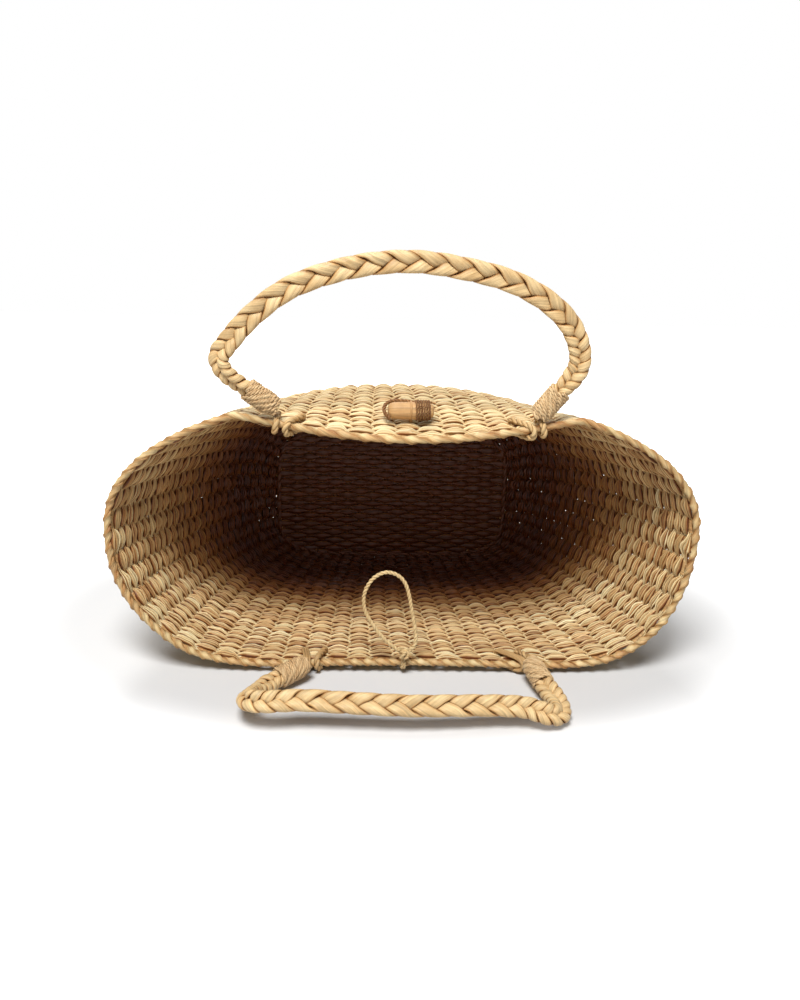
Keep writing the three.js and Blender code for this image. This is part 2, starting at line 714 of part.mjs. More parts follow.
const rollHeight = TOGGLE_RADIUS + GAP + BAND_THICKNESS + TOGGLE_STANDOFF;
const toggle = new THREE.Group();
toggle.position.copy(along(toggleFrame.surface, toggleFrame.outward, rollHeight));
toggle.quaternion.setFromRotationMatrix(new THREE.Matrix4().makeBasis(
  xAxis,
  toggleFrame.outward.clone().cross(xAxis).normalize(),
  toggleFrame.outward,
));
basket.add(toggle);
addPiece(toggle, 'toggle_roll', toggleRoll(), darkReed);
addPiece(toggle, 'toggle_wrap', toggleWrap(), darkReed);
addPiece(toggle, 'toggle_band', toggleBand(rollHeight), lightReed);
addPiece(toggle, 'toggle_knot', toggleKnot(rollHeight), darkReed);
const stemHoleRadius = STEM_RADIUS + STEM_CLEARANCE;
holes.front_wall.push(drill(toggleFrame.surface, toggleFrame.outward, stemHoleRadius, WALL_THICKNESS * 4));

for (const panel of PANELS) addPiece(basket, panel.name, wallPanel(panel, holes[panel.name] ?? []), reed);
addPiece(basket, 'rim_border', rimBorder(), reed);
addPiece(basket, 'base_mat', baseMat(), reed);

// The origin is the middle of the box that the basket fills, on the surface that it lies on
const bounds = new THREE.Box3().setFromObject(basket, true);
const middle = bounds.getCenter(new THREE.Vector3());
basket.position.set(-middle.x, -middle.y, -bounds.min.z);

export default basket;
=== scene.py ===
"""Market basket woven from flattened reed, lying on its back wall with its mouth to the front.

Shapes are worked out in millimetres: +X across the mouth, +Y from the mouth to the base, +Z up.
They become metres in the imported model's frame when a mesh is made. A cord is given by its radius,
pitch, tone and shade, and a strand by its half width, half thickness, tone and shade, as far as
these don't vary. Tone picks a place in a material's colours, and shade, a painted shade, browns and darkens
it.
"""
import math
import bpy
import numpy as np
from mathutils import Matrix, Vector


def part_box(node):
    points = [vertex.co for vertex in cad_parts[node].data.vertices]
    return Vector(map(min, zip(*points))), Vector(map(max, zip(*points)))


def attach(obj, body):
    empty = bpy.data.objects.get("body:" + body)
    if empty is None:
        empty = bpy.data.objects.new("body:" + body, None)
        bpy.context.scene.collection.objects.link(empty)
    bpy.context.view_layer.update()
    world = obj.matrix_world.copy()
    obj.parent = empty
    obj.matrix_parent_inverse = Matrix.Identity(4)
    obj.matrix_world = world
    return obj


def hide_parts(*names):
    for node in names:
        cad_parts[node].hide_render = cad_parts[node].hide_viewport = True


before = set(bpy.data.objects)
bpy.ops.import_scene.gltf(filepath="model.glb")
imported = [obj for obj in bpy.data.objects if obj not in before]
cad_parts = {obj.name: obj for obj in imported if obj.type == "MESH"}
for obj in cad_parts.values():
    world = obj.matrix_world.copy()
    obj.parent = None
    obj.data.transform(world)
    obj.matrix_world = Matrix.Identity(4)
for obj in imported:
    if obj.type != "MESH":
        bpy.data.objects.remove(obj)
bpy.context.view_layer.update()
rng = np.random.default_rng(11)

MM = 0.001
BASE_OUTER_Y = 186.6
SHIFT = np.array([0.0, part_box("base_mat")[1][1] / MM - BASE_OUTER_Y, 0.0])
RIGHT, INWARD, UP = np.eye(3)

# Basket body: the same sizes and curves as the solids
MOUTH_WIDTH = 407
MOUTH_BOTTOM = 7.5
MOUTH_WIDEST = 106
MOUTH_TOP = 205.5
BASE_WIDTH = 192
BASE_BOTTOM = 13
BASE_WIDEST = 68
BASE_TOP = 127
BASKET_HEIGHT = 186
WALL_THICKNESS = 4.5
BELLY_DROP = 1.2
SIDE_FLARE = 0.3
WALL_BULGE = 0.47
SHOULDER_SHARE = 0.6
SHOULDER_POWER = 3.5
WIDEST_POWER = 1.6
DROOP_DEPTH = 33.5
DROOP_HALF_WIDTH = 116
DROOP_START = 0.35
DROOP_ALONG = 1.7
DROOP_ACROSS = 1.1
CORNER_HALF_WIDTH = 150
LEFT_CORNER_LIFT = 9
BASE_SQUARENESS = 4.6
FRONT_SQUARENESS = (2.0, 2.25)
BACK_SQUARENESS = (5.6, 2.1)
STAKES = 64
BORDER_RADIUS = 4
GAP = 0.3
BORDER_SHARE = 1 - (2 * BORDER_RADIUS + GAP) / BASKET_HEIGHT

# Weave: rows of reeds that pass before one stake and behind the next
WEFT_ROWS = 52
REEDS_PER_ROW = 3
STEPS_PER_STAKE = 8
WEFT_SIDES = 8
WEAVE_SWING = 1.35
MEAN_SWING = 0.64
SWING_POWER = 0.7
WEFT_HALF_THICKNESS = (0.6, 1.15)
WEFT_WIDTH_SHARE = (0.5, 0.98)
WIDTH_POWER = 1.5
WEFT_ARCH = 0.45
WEFT_SLANT = 0.36
REED_CROWN = 0.3
ROUNDNESS = 0.85
REED_SHARES = (0.26, 0.4)
REED_OVERLAP = 0.05
LAST_ROW_GROWTH = 1.25
LOWEST_REED = 1.5
STAKE_COVER = 0.47
STAKE_STEPS = 60
STAKE_HALF_THICKNESS = 0.35
LOWEST_STAKE = 2.2

# How far a surface or reed has to face one way for a painted light or shade to start, and for all of it
UPPER_FACING = (0.2, 0.7)
LOWER_FACING = (0.1, -0.7)
INWARD_FACING = (0.35, -0.5)
PASS_TURNS_REED = 0.9
BEHIND_STAKE = (0.4, -0.4)
EDGE_FACING = (0.3, 0.9)

# Unevenness of the weave
PLUMP_SPREAD = 0.13
ROW_WANDER = 0.07
PHASE_JITTER = 0.2
ARCH_JITTER = 0.3
REED_JITTER = (0.14, 0.1)

# Tones, as a middle and a spread, and painted shades, as the darkest and the lightest
REED_TONE = (0.55, 0.1)
LENGTHS_PER_ROW = 5
FLOAT_TONE_SPREAD = 0.08
FLOAT_LIGHT_SPREAD = 0.08
# Painted shade: a browner tone on the reeds where they run on the inside of the wall
INSIDE_PAINTED_BROWNING = 0.15
# Painted shade inside the basket, darker the deeper; the lower and upper walls painted lighter
INSIDE_SHADE = (0.12, 0.88)
SIDE_WALL_FADE = (0.17, 0.82)
LOWER_WALL_FADE = (0.3, 0.7)
LOWER_WALL_LIGHTER = 0.06
SIDE_WALL_DARKER = 0.02
UPPER_WALL_LIGHTER = 0.1
LOWER_WALL_PAINTED_LIGHT = 1.22
# Painted shade at the edges of every reed and painted light along its crown, stronger inside
REED_EDGE_SHADE = (0.25, 0.72)
REED_MIDDLE_PAINTED_LIGHT = 1.1
REED_EDGE_POWER = 1.4
INSIDE_EDGE_GAIN = 0.6
STAKE_TONE = (0.3, 0.08)
# Painted shade on the wall's stakes, which show only in the gaps, darker deep in the basket
STAKE_SHADE = 0.75
DEEP_STAKE_SHADE = 0.35
STAKE_FADE = (0.3, 0.95)

# Rim: two flat strands twisted round each other
RIM_TURNS = 44
RIM_STEPS_PER_STAKE = 14
RIM_SIDES = 10
RIM_QUICKER_BELOW = 1.7
RIM_OFFSET = 0.75
RIM_STRAND = (3.4, 1.5)
RIM_NARROWING = 0.22
RIM_WOBBLE = (0.12, 0.15)
RIM_OUT = 0.8
RIM_BACK = 0.5
RIM_TONE = (0.44, 0.1)
# Painted shade on the rim's strands, in the hollow where they cross and along their edges
RIM_HOLLOW_SHADE = 0.85
RIM_EDGE_DARKER = 0.42

# Base
BASE_ROWS = 30
BASE_STAKES = 18
BASE_STAKE_SPACING = 10.4
BASE_MIDDLE_DEPTH = 2.3
BASE_MIDDLE_Y = BASE_OUTER_Y - BASE_MIDDLE_DEPTH
BASE_SIDE_MARGIN = 3
BASE_HEIGHT_MARGIN = 2.5
BASE_ROW_MARGIN = 4.2
BASE_SWING = 1.1
BASE_SWING_POWER = 0.8
BASE_WIDTH_SHARE = (0.5, 0.84)
BASE_HALF_THICKNESS = (0.7, 1.0)
BASE_TONE = (0.45, 0.12)
# Painted shade on the base's inner side and on its stakes
BASE_SHADE = (0.1, 1.0)
BASE_STAKE_STRAND = (1.5, 0.7, 0.4, 0.11)
EDGE_STEPS_PER_STAKE = 12
EDGE_INSET = 3.4
EDGE_STRAND = (1.9, 1.3)
# Painted shade on the inner side of the twist round the base
EDGE_SHADE = (0.12, 1.0)
EDGE_TONE_WOBBLE = 0.06

# Handles, as in the solids. Wraps reach past a binding's start and end, and trims shorten the plait
BOUND_CORE_RADIUS = 4.3
BINDING_LENGTH = 22
BINDING_CORD_RADIUS = 1.55
FOOT_REACH = 9.6
BINDING_REACH = 8
ARCH_STRAIGHT = 5
FRONT_HANDLE = {
    "name": "front_handle", "side": 1, "feet": (-84, 85), "turn": 90,
    "arch": [
        (-121, 36, 0), (-124, 45, 0), (-117, 56, 0), (-103, 72, 0), (-80, 90, 0), (-42, 104, 0),
        (-3, 109, 0), (33, 105, 0), (64, 97, 0), (88, 84, 0), (102, 70, 0), (109, 54, 0), (109, 43, 0),
    ],
    "lean": (-56, 38), "droop": 0, "lift": 0, "holes": ((-5, 12), (-14, 4)),
    "face": 0, "rolls": [(0.08, 0.09, 45), (0.95, 0.07, -40)],
    "tight": (20, 76), "tone": 0.55, "trim": (3.8, 2.5),
    "wraps": ((6, 0), (6, 0)), "flat_lashings": (), "lashing_tone": 0.28,
}
BACK_HANDLE = {
    "name": "back_handle", "side": -1, "feet": (-62, 90), "turn": 180,
    "arch": [
        (-95, 41, -2), (-101, 53, -5), (-104, 67, -10), (-101, 78, -13), (-91, 82, -14.6),
        (-69, 80, -14.6), (-31, 81, -13), (0, 82, -12), (30, 80, -11), (55, 77, -9.6),
        (78, 76, -7.6), (92, 78, -4), (100, 74, -1.5), (103, 63, -0.5), (101, 48, -0.5),
    ],
    "lean": (-50, 14), "droop": 8, "lift": 6, "holes": ((-7, 8), (-18, -3)),
    "face": -45, "rolls": [(0.08, 0.07, 60), (0.92, 0.07, 70)],
    "tight": (52, 105), "tone": 0.46, "trim": (4.8, 2.5),
    "wraps": ((5, 1), (2, 6)), "flat_lashings": ("a",), "lashing_tone": 0.2,
}
PLAIT_PERIOD = 50
TIGHT_PERIOD = 20
PLAIT_SIZE = (13.2, 3.0)
BOUND_SIZE = (9.8, 3.3)
STRAP_COVER = 1.08
STRAP_HALF_THICKNESS = 0.8
FOLD_PINCH = 0.22
PLAIT_OPENS = (-7, 9)
PLAIT_STEPS = 900
FOOT_STEPS = 20
FULLEST_SINE = 0.98
LAYER_LAG = (0.68, 0.32)
STRAP_COLUMNS = 11
# Painted shade along the folded edges of the straps, where they meet
STRAP_EDGE_DARKER = 0.6
STRAP_WOBBLE = (0.06, 0.03, 0.1)
STRAP_SWELL = (0.82, 0.26)
STRAP_TONE_SPREAD = 0.05
# A core inside the plait that fills the gaps between the straps, painted dark as shade
CORE_HALF_WIDTH = (3.0, 4.0)
CORE_STRAND = (1.3, 0.3, 0.3)
WRAP_TURNS = 12
WRAP_STEPS_PER_TURN = 36
WRAP_CORD_RADIUS = 1.2
WRAP_CORD = (1.15 * WRAP_CORD_RADIUS, 8.5, 0.66)
WRAP_RADIUS = 6.5
WRAP_NARROW_RADIUS = 4.9
WRAP_NARROW_TURNS = 3
WRAP_END_GAP = 2.5
WRAP_SKEW = 0.5
WRAP_WOBBLE = (0.16, 0.15)

# Lashings, toggle and closure loop, as in the solids
STRIP_CLEARANCE = 0.6
STRIP_HUGS_RIM_AT = 4.5
STRIP_WIDTH = 5
STRIP_THICKNESS = 2.4
HOLE_BELOW_RIM = 16
STRIP_SPREAD = 3.2
STRIP_LEG_SHARE = 0.62
STRIP_LEG_BOW = 0.5
STRIP_TURN = 1.1
STRIP_STEPS = 72
STRIP_CORD = (2.25, 11)
STRIP_REED_TONE = (0.16, 0.08)
STRIP_REED_STRAND = (0.2 * STRIP_WIDTH, 0.55 * STRIP_THICKNESS)
STRIP_REED_SPACING = 0.31
STRIP_REED_LIFT = (-0.2, 0.4)
LOWEST_STRIP = 2.45
TOGGLE_LENGTH = 31
TOGGLE_RADIUS = 5.6
TOGGLE_BELOW_RIM = 24
TOGGLE_ACROSS = 2
ROLL_HEIGHT = 9.0
LEAF_TURNS = 1.9
LEAF_START = -1.1
LEAF_HALF_THICKNESS = 0.75
LEAF_CORE_SHARE = 0.3
LEAF_TONE = (0.46, 0.12)
LEAF_STEPS = 97
ROLL_STEPS = 41
TOGGLE_WRAP_TURNS = 6
TOGGLE_WRAP_START = 3.2
TOGGLE_WRAP_PITCH = 1.72
TOGGLE_WRAP_RADIUS = 6.3
TOGGLE_WRAP_NARROWS = 0.7
TOGGLE_WRAP_END = (4.8, 6)
TOGGLE_WRAP_CORD = (0.95, 4, 0.08, 0.85)
BAND_RADIUS = 5.95
BAND_STRAND = (0.7, 0.45, 0.5, 0.95)
STEM_TOP = -6.2
STEM_BELOW_WALL = 6
STEM_CORD = (1.5, 6, 0.4)
SLING_CORD = (1.35, 5, 0.1, 0.8)
SLING_ROUTE = [
    (5, 4.5, -5), (4.5, 6.8, -1), (3, 6.6, 2), (-2, 7.4, 3), (-8, 7.6, 3.2), (-13, 6.8, 3),
    (-16.8, 4.2, 2), (-18, 0, 0.5), (-16.8, -3.8, -1.5), (-14.5, -5.2, -3.5),
]
TOGGLE_KNOT_RADIUS = 3.4
TOGGLE_KNOT_INSET = 0.9
TOGGLE_KNOT_CORD = (1.1, 5, 0.4)
LOOP_CORD = (1.5, 6.2, 0.62)
LOOP_STEPS = 240
LOOP_LEAN = 15
LOOP_ACROSS = 1.5
KNOT_RADIUS = 3.8
KNOT_INSET = 1.2
KNOT_CORD = (1.3, 5, 0.55)
HITCH_STEPS = 96
HITCH_CORD = (1.15, 5.5, 0.55)
HITCH_CORD_SHIFT = 0.8
LOOP_ROUTE = [
    (7, 6), (8, 13), (6.8, 21), (4.6, 32), (2.7, 41.9), (-0.6, 51), (-6, 56),
    (-13.6, 57.7), (-21, 54.5), (-26, 48.5), (-28.8, 40),
    (-27.5, 30), (-22, 20.6), (-14.3, 11), (-8.2, 5.8),
]

# Camera: the photograph's place, its three directions and its lens
CAMERA_PLACE = (-0.05408, -0.83470, 0.41733)
CAMERA_RIGHT = (0.99817, -0.05084, 0.03279)
CAMERA_UP = (-0.01337, 0.34333, 0.93912)
CAMERA_BACK = (-0.05900, -0.93784, 0.34202)
SENSOR_HEIGHT = 24
LENS_LENGTH = 30

# Floor, lamps and background, in metres and watts. The greys are for bounced light and for sight
FLOOR_HALF_SIZE = 1.15
FLOOR_GREYS = (0.6, 0.7)
# A painted glow whitens the floor from these distances outward, leaving it greyer near the basket
FLOOR_FADE = (0.19, 0.3)
FADE_MIDDLE = (0, -0.05, 0)
FADE_SCALE = (0.8, 1.25, 1)
LAMP_AIM = (0, 0, 0.1)
LAMP_SIZE = 0.8
KEY_LIGHT = ((-0.3, -1.25, 2.0), 62)
BACK_LIGHT = ((-0.3, 0.9, 2.0), 17)
WORLD_LIGHT = 0.16


# Small helpers
def mix(a, b, share):
    return a + (b - a) * share


def signed_power(value, power):
    return np.sign(value) * np.abs(value) ** power


def smooth(low, high, value):
    share = np.clip((value - low) / (high - low), 0, 1)
    return share * share * (3 - 2 * share)


def unit(vectors):
    return vectors / np.linalg.norm(vectors, axis=-1, keepdims=True)


def tangents(line, closed=False):
    if closed:
        return unit(np.roll(line, -1, 0) - np.roll(line, 1, 0))
    return unit(np.gradient(line, axis=0))


def lengths_along(line):
    steps = np.linalg.norm(np.diff(line, axis=0), axis=1)
    return np.concatenate([[0], np.cumsum(steps)])


def full_turn(count):
    return np.linspace(0, 2 * np.pi, count, endpoint=False)


def evenly_round(steps_per_stake):
    """Places round the basket, from 0 to 1."""
    steps = STAKES * steps_per_stake
    return np.arange(steps) / steps


def keep_above(points, height):
    """The same points, with none lower than a height above the floor."""
    points[..., 2] = np.maximum(points[..., 2], height)
    return points


def resample(line, count):
    at = lengths_along(line)
    wanted = np.linspace(0, at[-1], count)
    return np.stack([np.interp(wanted, at, line[:, k]) for k in range(3)], -1)


# Wall surface, by the same formula as the solids
def wall_surface(angle, share):
    """Places at an angle from +X towards +Z and at a share of the way from base to mouth."""
    cos, sin = np.cos(angle), np.sin(angle)
    rest = 1 - share
    top = sin >= 0
    blend = np.where(top, 1 - rest ** 5, 1 - rest ** 2)
    across, up = (
        mix(BASE_SQUARENESS, np.where(top, front, back), blend)
        for front, back in zip(FRONT_SQUARENESS, BACK_SQUARENESS))
    half_width = mix(BASE_WIDTH / 2, MOUTH_WIDTH / 2, share + SIDE_FLARE * share * rest)
    shoulder = mix(share, 1 - rest ** SHOULDER_POWER, SHOULDER_SHARE)
    high = mix(BASE_TOP, MOUTH_TOP, shoulder)
    widest = mix(BASE_WIDEST, MOUTH_WIDEST, 1 - rest ** WIDEST_POWER)
    lift = MOUTH_BOTTOM * share ** 4
    low = BASE_BOTTOM * rest ** 5 + lift - BELLY_DROP * np.sin(np.pi * share)
    x = half_width * signed_power(cos, 2 / across)
    y = BASKET_HEIGHT * (rest + WALL_BULGE * share * rest * rest)
    z = widest + np.where(top, high - widest, widest - low) * signed_power(sin, 2 / up)
    dip_across = np.maximum(0, 1 - (x / DROOP_HALF_WIDTH) ** 2) ** DROOP_ACROSS
    dip_along = np.maximum(0, (share - DROOP_START) / (1 - DROOP_START)) ** DROOP_ALONG
    flat = lift * np.minimum(1, (x / CORNER_HALF_WIDTH) ** 2) * sin * sin
    corner = np.where(cos < 0, LEFT_CORNER_LIFT * share * share * (2 * sin * cos) ** 2, 0)
    z = z + np.where(top, -DROOP_DEPTH * dip_along * dip_across, corner - flat)
    return np.stack([x, y, z], -1)


# The surface as a grid of places, evenly spaced round every cross-section
SHARE_CELLS = 250
ROUND_CELLS = 1280
ROUND_REACH = 5
SHARE_REACH = 3
ROUND_SAMPLES = 1441
BISECTIONS = 40


def wall_grid():
    angles = np.pi / 2 + np.linspace(0, 2 * np.pi, ROUND_SAMPLES)
    rows = []
    for share in np.linspace(0, 1, SHARE_CELLS + 1):
        points = wall_surface(angles, np.full_like(angles, share))
        rows.append(resample(points, ROUND_CELLS + 1)[:-1])
    return np.array(rows)


GRID = wall_grid()
SIDEWAYS = unit(np.roll(GRID, -ROUND_REACH, 1) - np.roll(GRID, ROUND_REACH, 1))
AFTER = np.minimum(np.arange(SHARE_CELLS + 1) + SHARE_REACH, SHARE_CELLS)
BEFORE = np.maximum(np.arange(SHARE_CELLS + 1) - SHARE_REACH, 0)
MOUTHWARD = unit(GRID[AFTER] - GRID[BEFORE])
OUTWARD = unit(np.cross(SIDEWAYS, MOUTHWARD))


def sample(grid, around, share):
    """Values of a grid between its cells. Around runs from 0 to 1, starting at the top."""
    around = np.mod(around, 1) * ROUND_CELLS
    share = np.clip(share, 0, 1) * SHARE_CELLS
    i = np.floor(around).astype(int) % ROUND_CELLS
    k = np.minimum(np.floor(share).astype(int), SHARE_CELLS - 1)
    a = (around - np.floor(around))[..., None]
    b = (share - k)[..., None]
    near = grid[k, i] * (1 - a) + grid[k, (i + 1) % ROUND_CELLS] * a
    far = grid[k + 1, i] * (1 - a) + grid[k + 1, (i + 1) % ROUND_CELLS] * a
    return near * (1 - b) + far * b


def wall_frame(around, share):
    around, share = np.broadcast_arrays(np.asarray(around, float), np.asarray(share, float))
    outward = unit(sample(OUTWARD, around, share))
    mouthward = unit(sample(MOUTHWARD, around, share))
    return sample(GRID, around, share), outward, mouthward


def rim_centre(around):
    surface, outward, mouthward = wall_frame(around, BORDER_SHARE)
    centre = surface - outward * WALL_THICKNESS / 2 + mouthward * (BORDER_RADIUS + GAP)
    return centre, outward, mouthward


def round_at(across, side):
    """Where the rim passes a place across the mouth, on its upper or lower side."""
    low = -0.25 if side > 0 else 0.25
    high = low + 0.5
    for _ in range(BISECTIONS):
        middle = (low + high) / 2
        x = rim_centre(middle)[0][0]
        if (x > across) == (side > 0):
            low = middle
        else:
            high = middle
    return low


def new_object(name, data):
    obj = bpy.data.objects.new(name, data)
    bpy.context.scene.collection.objects.link(obj)
    return obj


# Strands collected into one mesh, each with its own part of the grain
GRAIN_REACH = 900
STRAP_GRAIN_WIDTH = 4
STRAP_GRAIN_DEPTH = 3.0


class Reeds:
    """Every point keeps its place in its own strand, its tone and its shade."""

    def __init__(self):
        self.points, self.grain, self.tone, self.shade = [], [], [], []
        self.quads, self.caps = [], []
        self.count = 0

    def strand(self, line, wide, thick, half_width, half_thick, tone, shade=1.0, sides=8,
               closed=False, roundness=ROUNDNESS):
        """A solid strand along a line, with directions and half sizes across it and through it."""
        steps = len(line)
        wide, thick = (np.broadcast_to(direction, line.shape) for direction in (wide, thick))
        forward = tangents(line, closed)
        if np.mean(np.sum(np.cross(wide, thick) * forward, -1)) < 0:
            wide = -wide
        angle = full_turn(sides)
        across = signed_power(np.cos(angle), roundness)
        out = signed_power(np.sin(angle), roundness)
        half_width = np.broadcast_to(half_width, steps)[:, None] * across
        half_thick = np.broadcast_to(half_thick, steps)[:, None] * out
        ring = (line[:, None] + wide[:, None] * half_width[..., None]
                + thick[:, None] * half_thick[..., None])
        self.points.append(ring.reshape(-1, 3))
        at = lengths_along(line)
        if closed:
            at = np.abs(at - at[-1] / 2)
        at = np.broadcast_to(at[:, None], half_width.shape)
        offset = rng.uniform(0, GRAIN_REACH, 3)
        self.grain.append(np.stack([at, half_width, half_thick], -1).reshape(-1, 3) + offset)
        self.tone.append(np.repeat(np.broadcast_to(tone, steps), sides))
        shade = np.asarray(shade, float)
        if shade.ndim < 2:
            shade = np.broadcast_to(shade, steps)[:, None] * np.ones(sides)
        self.shade.append(shade.ravel())
        self.add_sides(steps, sides, closed)
        if not closed:
            first = np.arange(sides)[::-1] + self.count
            self.caps += [first.tolist(), (first[::-1] + (steps - 1) * sides).tolist()]
        self.count += steps * sides

    def ribbon(self, middle, half_thick, tone, shade):
        """A flat strap given by its middle surface, rows along it and columns across it."""
        steps, columns = middle.shape[:2]
        face = unit(np.cross(np.gradient(middle, axis=0), np.gradient(middle, axis=1)))
        lift = face * half_thick[None, :, None]
        ring = np.concatenate([middle + lift, (middle - lift)[:, ::-1]], axis=1)
        across = np.linspace(-STRAP_GRAIN_WIDTH, STRAP_GRAIN_WIDTH, columns)
        grain = np.zeros((steps, 2 * columns, 3))
        grain[..., 0] = lengths_along(middle[:, columns // 2])[:, None]
        grain[..., 1] = np.concatenate([across, across[::-1]])
        grain[..., 2] = np.repeat([0.0, STRAP_GRAIN_DEPTH], columns)
        self.points.append(ring.reshape(-1, 3))
        self.grain.append(grain.reshape(-1, 3) + rng.uniform(0, GRAIN_REACH, 3))
        self.tone.append(np.repeat(np.broadcast_to(tone, steps), 2 * columns))
        self.shade.append(np.concatenate([shade, shade[:, ::-1]], axis=1).ravel())
        self.add_sheet_faces(steps, columns)

    def add_sides(self, rows, sides, closed=False, flip=False):
        """Faces between each ring of points and the next."""
        row = np.arange(rows if closed else rows - 1)[:, None]
        here, there = row * sides, (row + 1) % rows * sides
        side = np.arange(sides)
        after = (side + 1) % sides
        quads = np.stack([here + side, here + after, there + after, there + side], -1).reshape(-1, 4)
        self.quads.append((quads[:, [0, 3, 2, 1]] if flip else quads) + self.count)

    def add_sheet_faces(self, rows, columns):
        """Faces of a flat body whose rings run across one side of it and back on the other."""
        sides = 2 * columns
        self.add_sides(rows, sides, flip=True)
        for end, flip in ((0, False), (rows - 1, True)):
            for k in range(columns - 1):
                quad = [self.count + end * sides + i for i in (k, k + 1, sides - 2 - k, sides - 1 - k)]
                self.caps.append(quad[::-1] if flip else quad)
        self.count += rows * sides

    def make(self, name, material):
        points = (np.concatenate(self.points) + SHIFT) * MM
        faces = np.concatenate(self.quads).tolist() + self.caps
        mesh = bpy.data.meshes.new(name)
        mesh.from_pydata(points.tolist(), [], faces)
        grain = mesh.attributes.new("grain", "FLOAT_VECTOR", "POINT")
        grain.data.foreach_set("vector", np.concatenate(self.grain).ravel())
        for label, values in (("tone", self.tone), ("shade", self.shade)):
            layer = mesh.attributes.new(label, "FLOAT", "POINT")
            layer.data.foreach_set("value", np.concatenate(values).astype(float))
        mesh.polygons.foreach_set("use_smooth", [True] * len(mesh.polygons))
        mesh.materials.append(material)
        mesh.update()
        return new_object(name, mesh)


def place(name, reeds, slot, body, *nodes):
    """Make the piece, let it ride on its body and stand for its nodes."""
    obj = reeds.make(name, MATERIALS[slot])
    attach(obj, body)
    if nodes:
        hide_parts(*nodes)
    return obj


# Materials
BROAD_STRETCH = (0.02, 0.6, 0.6)
FLECK_SCALE = 0.35
PATCH_SCALE = 28.0
PATCH_TONE = 0.24
FLECK_TONE = 0.3
FIBRE_CONTRAST = 2
RIDGE_CONTRAST = 1.6
# How strongly the painted shade darkens red, green and blue, so that it also browns
PAINTED_SHADE_POWERS = (1.0, 1.55, 2.2)
FLECK_HEIGHT = 0.5
RIDGE_HEIGHT = 2.4
BUMP_STRENGTH = 0.8
SPECULAR = 0.3


class Nodes:
    """The nodes of one material or of the world, each made together with its inputs."""

    def __init__(self, owner):
        owner.use_nodes = True
        self.tree = owner.node_tree
        self.tree.nodes.clear()

    def add(self, kind, inputs=None, output=0, **settings):
        made = self.tree.nodes.new(kind)
        for key, value in settings.items():
            setattr(made, key, value)
        for socket, value in (inputs or {}).items():
            if isinstance(value, bpy.types.NodeSocket):
                self.tree.links.new(value, made.inputs[socket])
            else:
                made.inputs[socket].default_value = value
        return made.outputs[output] if made.outputs else None

    def math(self, operation, a, b):
        return self.add("ShaderNodeMath", {0: a, 1: b}, operation=operation)

    def times(self, vector, factors):
        return self.add("ShaderNodeVectorMath", {0: vector, 1: factors}, operation="MULTIPLY")

    def swing(self, value, size):
        return self.math("MULTIPLY", self.math("SUBTRACT", value, 0.5), size)

    def noise(self, vector, scale, detail, rough=0.55):
        return self.add("ShaderNodeTexNoise", {
            "Vector": vector, "Scale": scale, "Detail": detail, "Roughness": rough})

    def seen_directly(self):
        """1 for what the camera sees, also mirrored or through glass, and 0 for light that bounces."""
        seen = self.tree.nodes.new("ShaderNodeLightPath").outputs
        mirrored = self.math("MAXIMUM", seen["Is Camera Ray"], seen["Is Glossy Ray"])
        return self.math("MAXIMUM", mirrored, seen["Is Transmission Ray"])


def reed_material(name, stops, striation=(0.03, 1.2), contrast=0.6, roughness=(0.3, 0.62), bump=0.35):
    """Dry reed: the tone picks its colour, the painted shade browns and darkens it, and fibres run along the
    grain.
    """
    material = bpy.data.materials.new(name)
    nodes = Nodes(material)
    grain = nodes.add("ShaderNodeAttribute", output="Vector", attribute_name="grain")
    fibres = nodes.noise(nodes.times(grain, (striation[0], striation[1], striation[1])), 1.0, 5.0, 0.6)
    flecks = nodes.noise(grain, FLECK_SCALE, 3.0)
    ridges = nodes.noise(nodes.times(grain, BROAD_STRETCH), 1.0, 1.0, 0.5)
    patches = nodes.noise(nodes.add("ShaderNodeTexCoord", output="Object"), PATCH_SCALE, 3.0)

    tone = nodes.add("ShaderNodeAttribute", output="Fac", attribute_name="tone")
    tone = nodes.math("ADD", tone, nodes.swing(patches, PATCH_TONE))
    tone = nodes.math("ADD", tone, nodes.swing(flecks, FLECK_TONE))
    ramp = nodes.tree.nodes.new("ShaderNodeValToRGB")
    while len(ramp.color_ramp.elements) < len(stops):
        ramp.color_ramp.elements.new(0.5)
    for element, (position, colour) in zip(ramp.color_ramp.elements, stops):
        element.position = position
        element.color = (*colour, 1)
    nodes.tree.links.new(tone, ramp.inputs[0])

    fine = nodes.swing(fibres, FIBRE_CONTRAST * contrast)
    value = nodes.math("ADD", fine, nodes.swing(ridges, RIDGE_CONTRAST * contrast))
    value = nodes.math("ADD", value, 1.0)
    # Painted shade: the shade attribute darkens and browns the colour, times the fibre and ridge value of the
    # grain
    shade = nodes.add("ShaderNodeAttribute", output="Fac", attribute_name="shade")
    painted_shade_and_grain = nodes.add("ShaderNodeCombineXYZ", {
        channel: nodes.math("MULTIPLY", nodes.math("POWER", shade, power), value)
        for channel, power in enumerate(PAINTED_SHADE_POWERS)})

    dull = nodes.math("ADD", nodes.math("MULTIPLY", fibres, roughness[1] - roughness[0]), roughness[0])
    raised = nodes.math("ADD", fibres, nodes.math("MULTIPLY", flecks, FLECK_HEIGHT))
    raised = nodes.math("ADD", raised, nodes.math("MULTIPLY", ridges, RIDGE_HEIGHT))
    height = nodes.add("ShaderNodeBump", {"Strength": BUMP_STRENGTH, "Distance": bump * MM, "Height": raised})
    shader = nodes.add("ShaderNodeBsdfPrincipled", {
        "Specular IOR Level": SPECULAR, "Base Color": nodes.times(ramp.outputs[0], painted_shade_and_grain),
        "Roughness": dull, "Normal": height})
    nodes.add("ShaderNodeOutputMaterial", {0: shader})
    return material


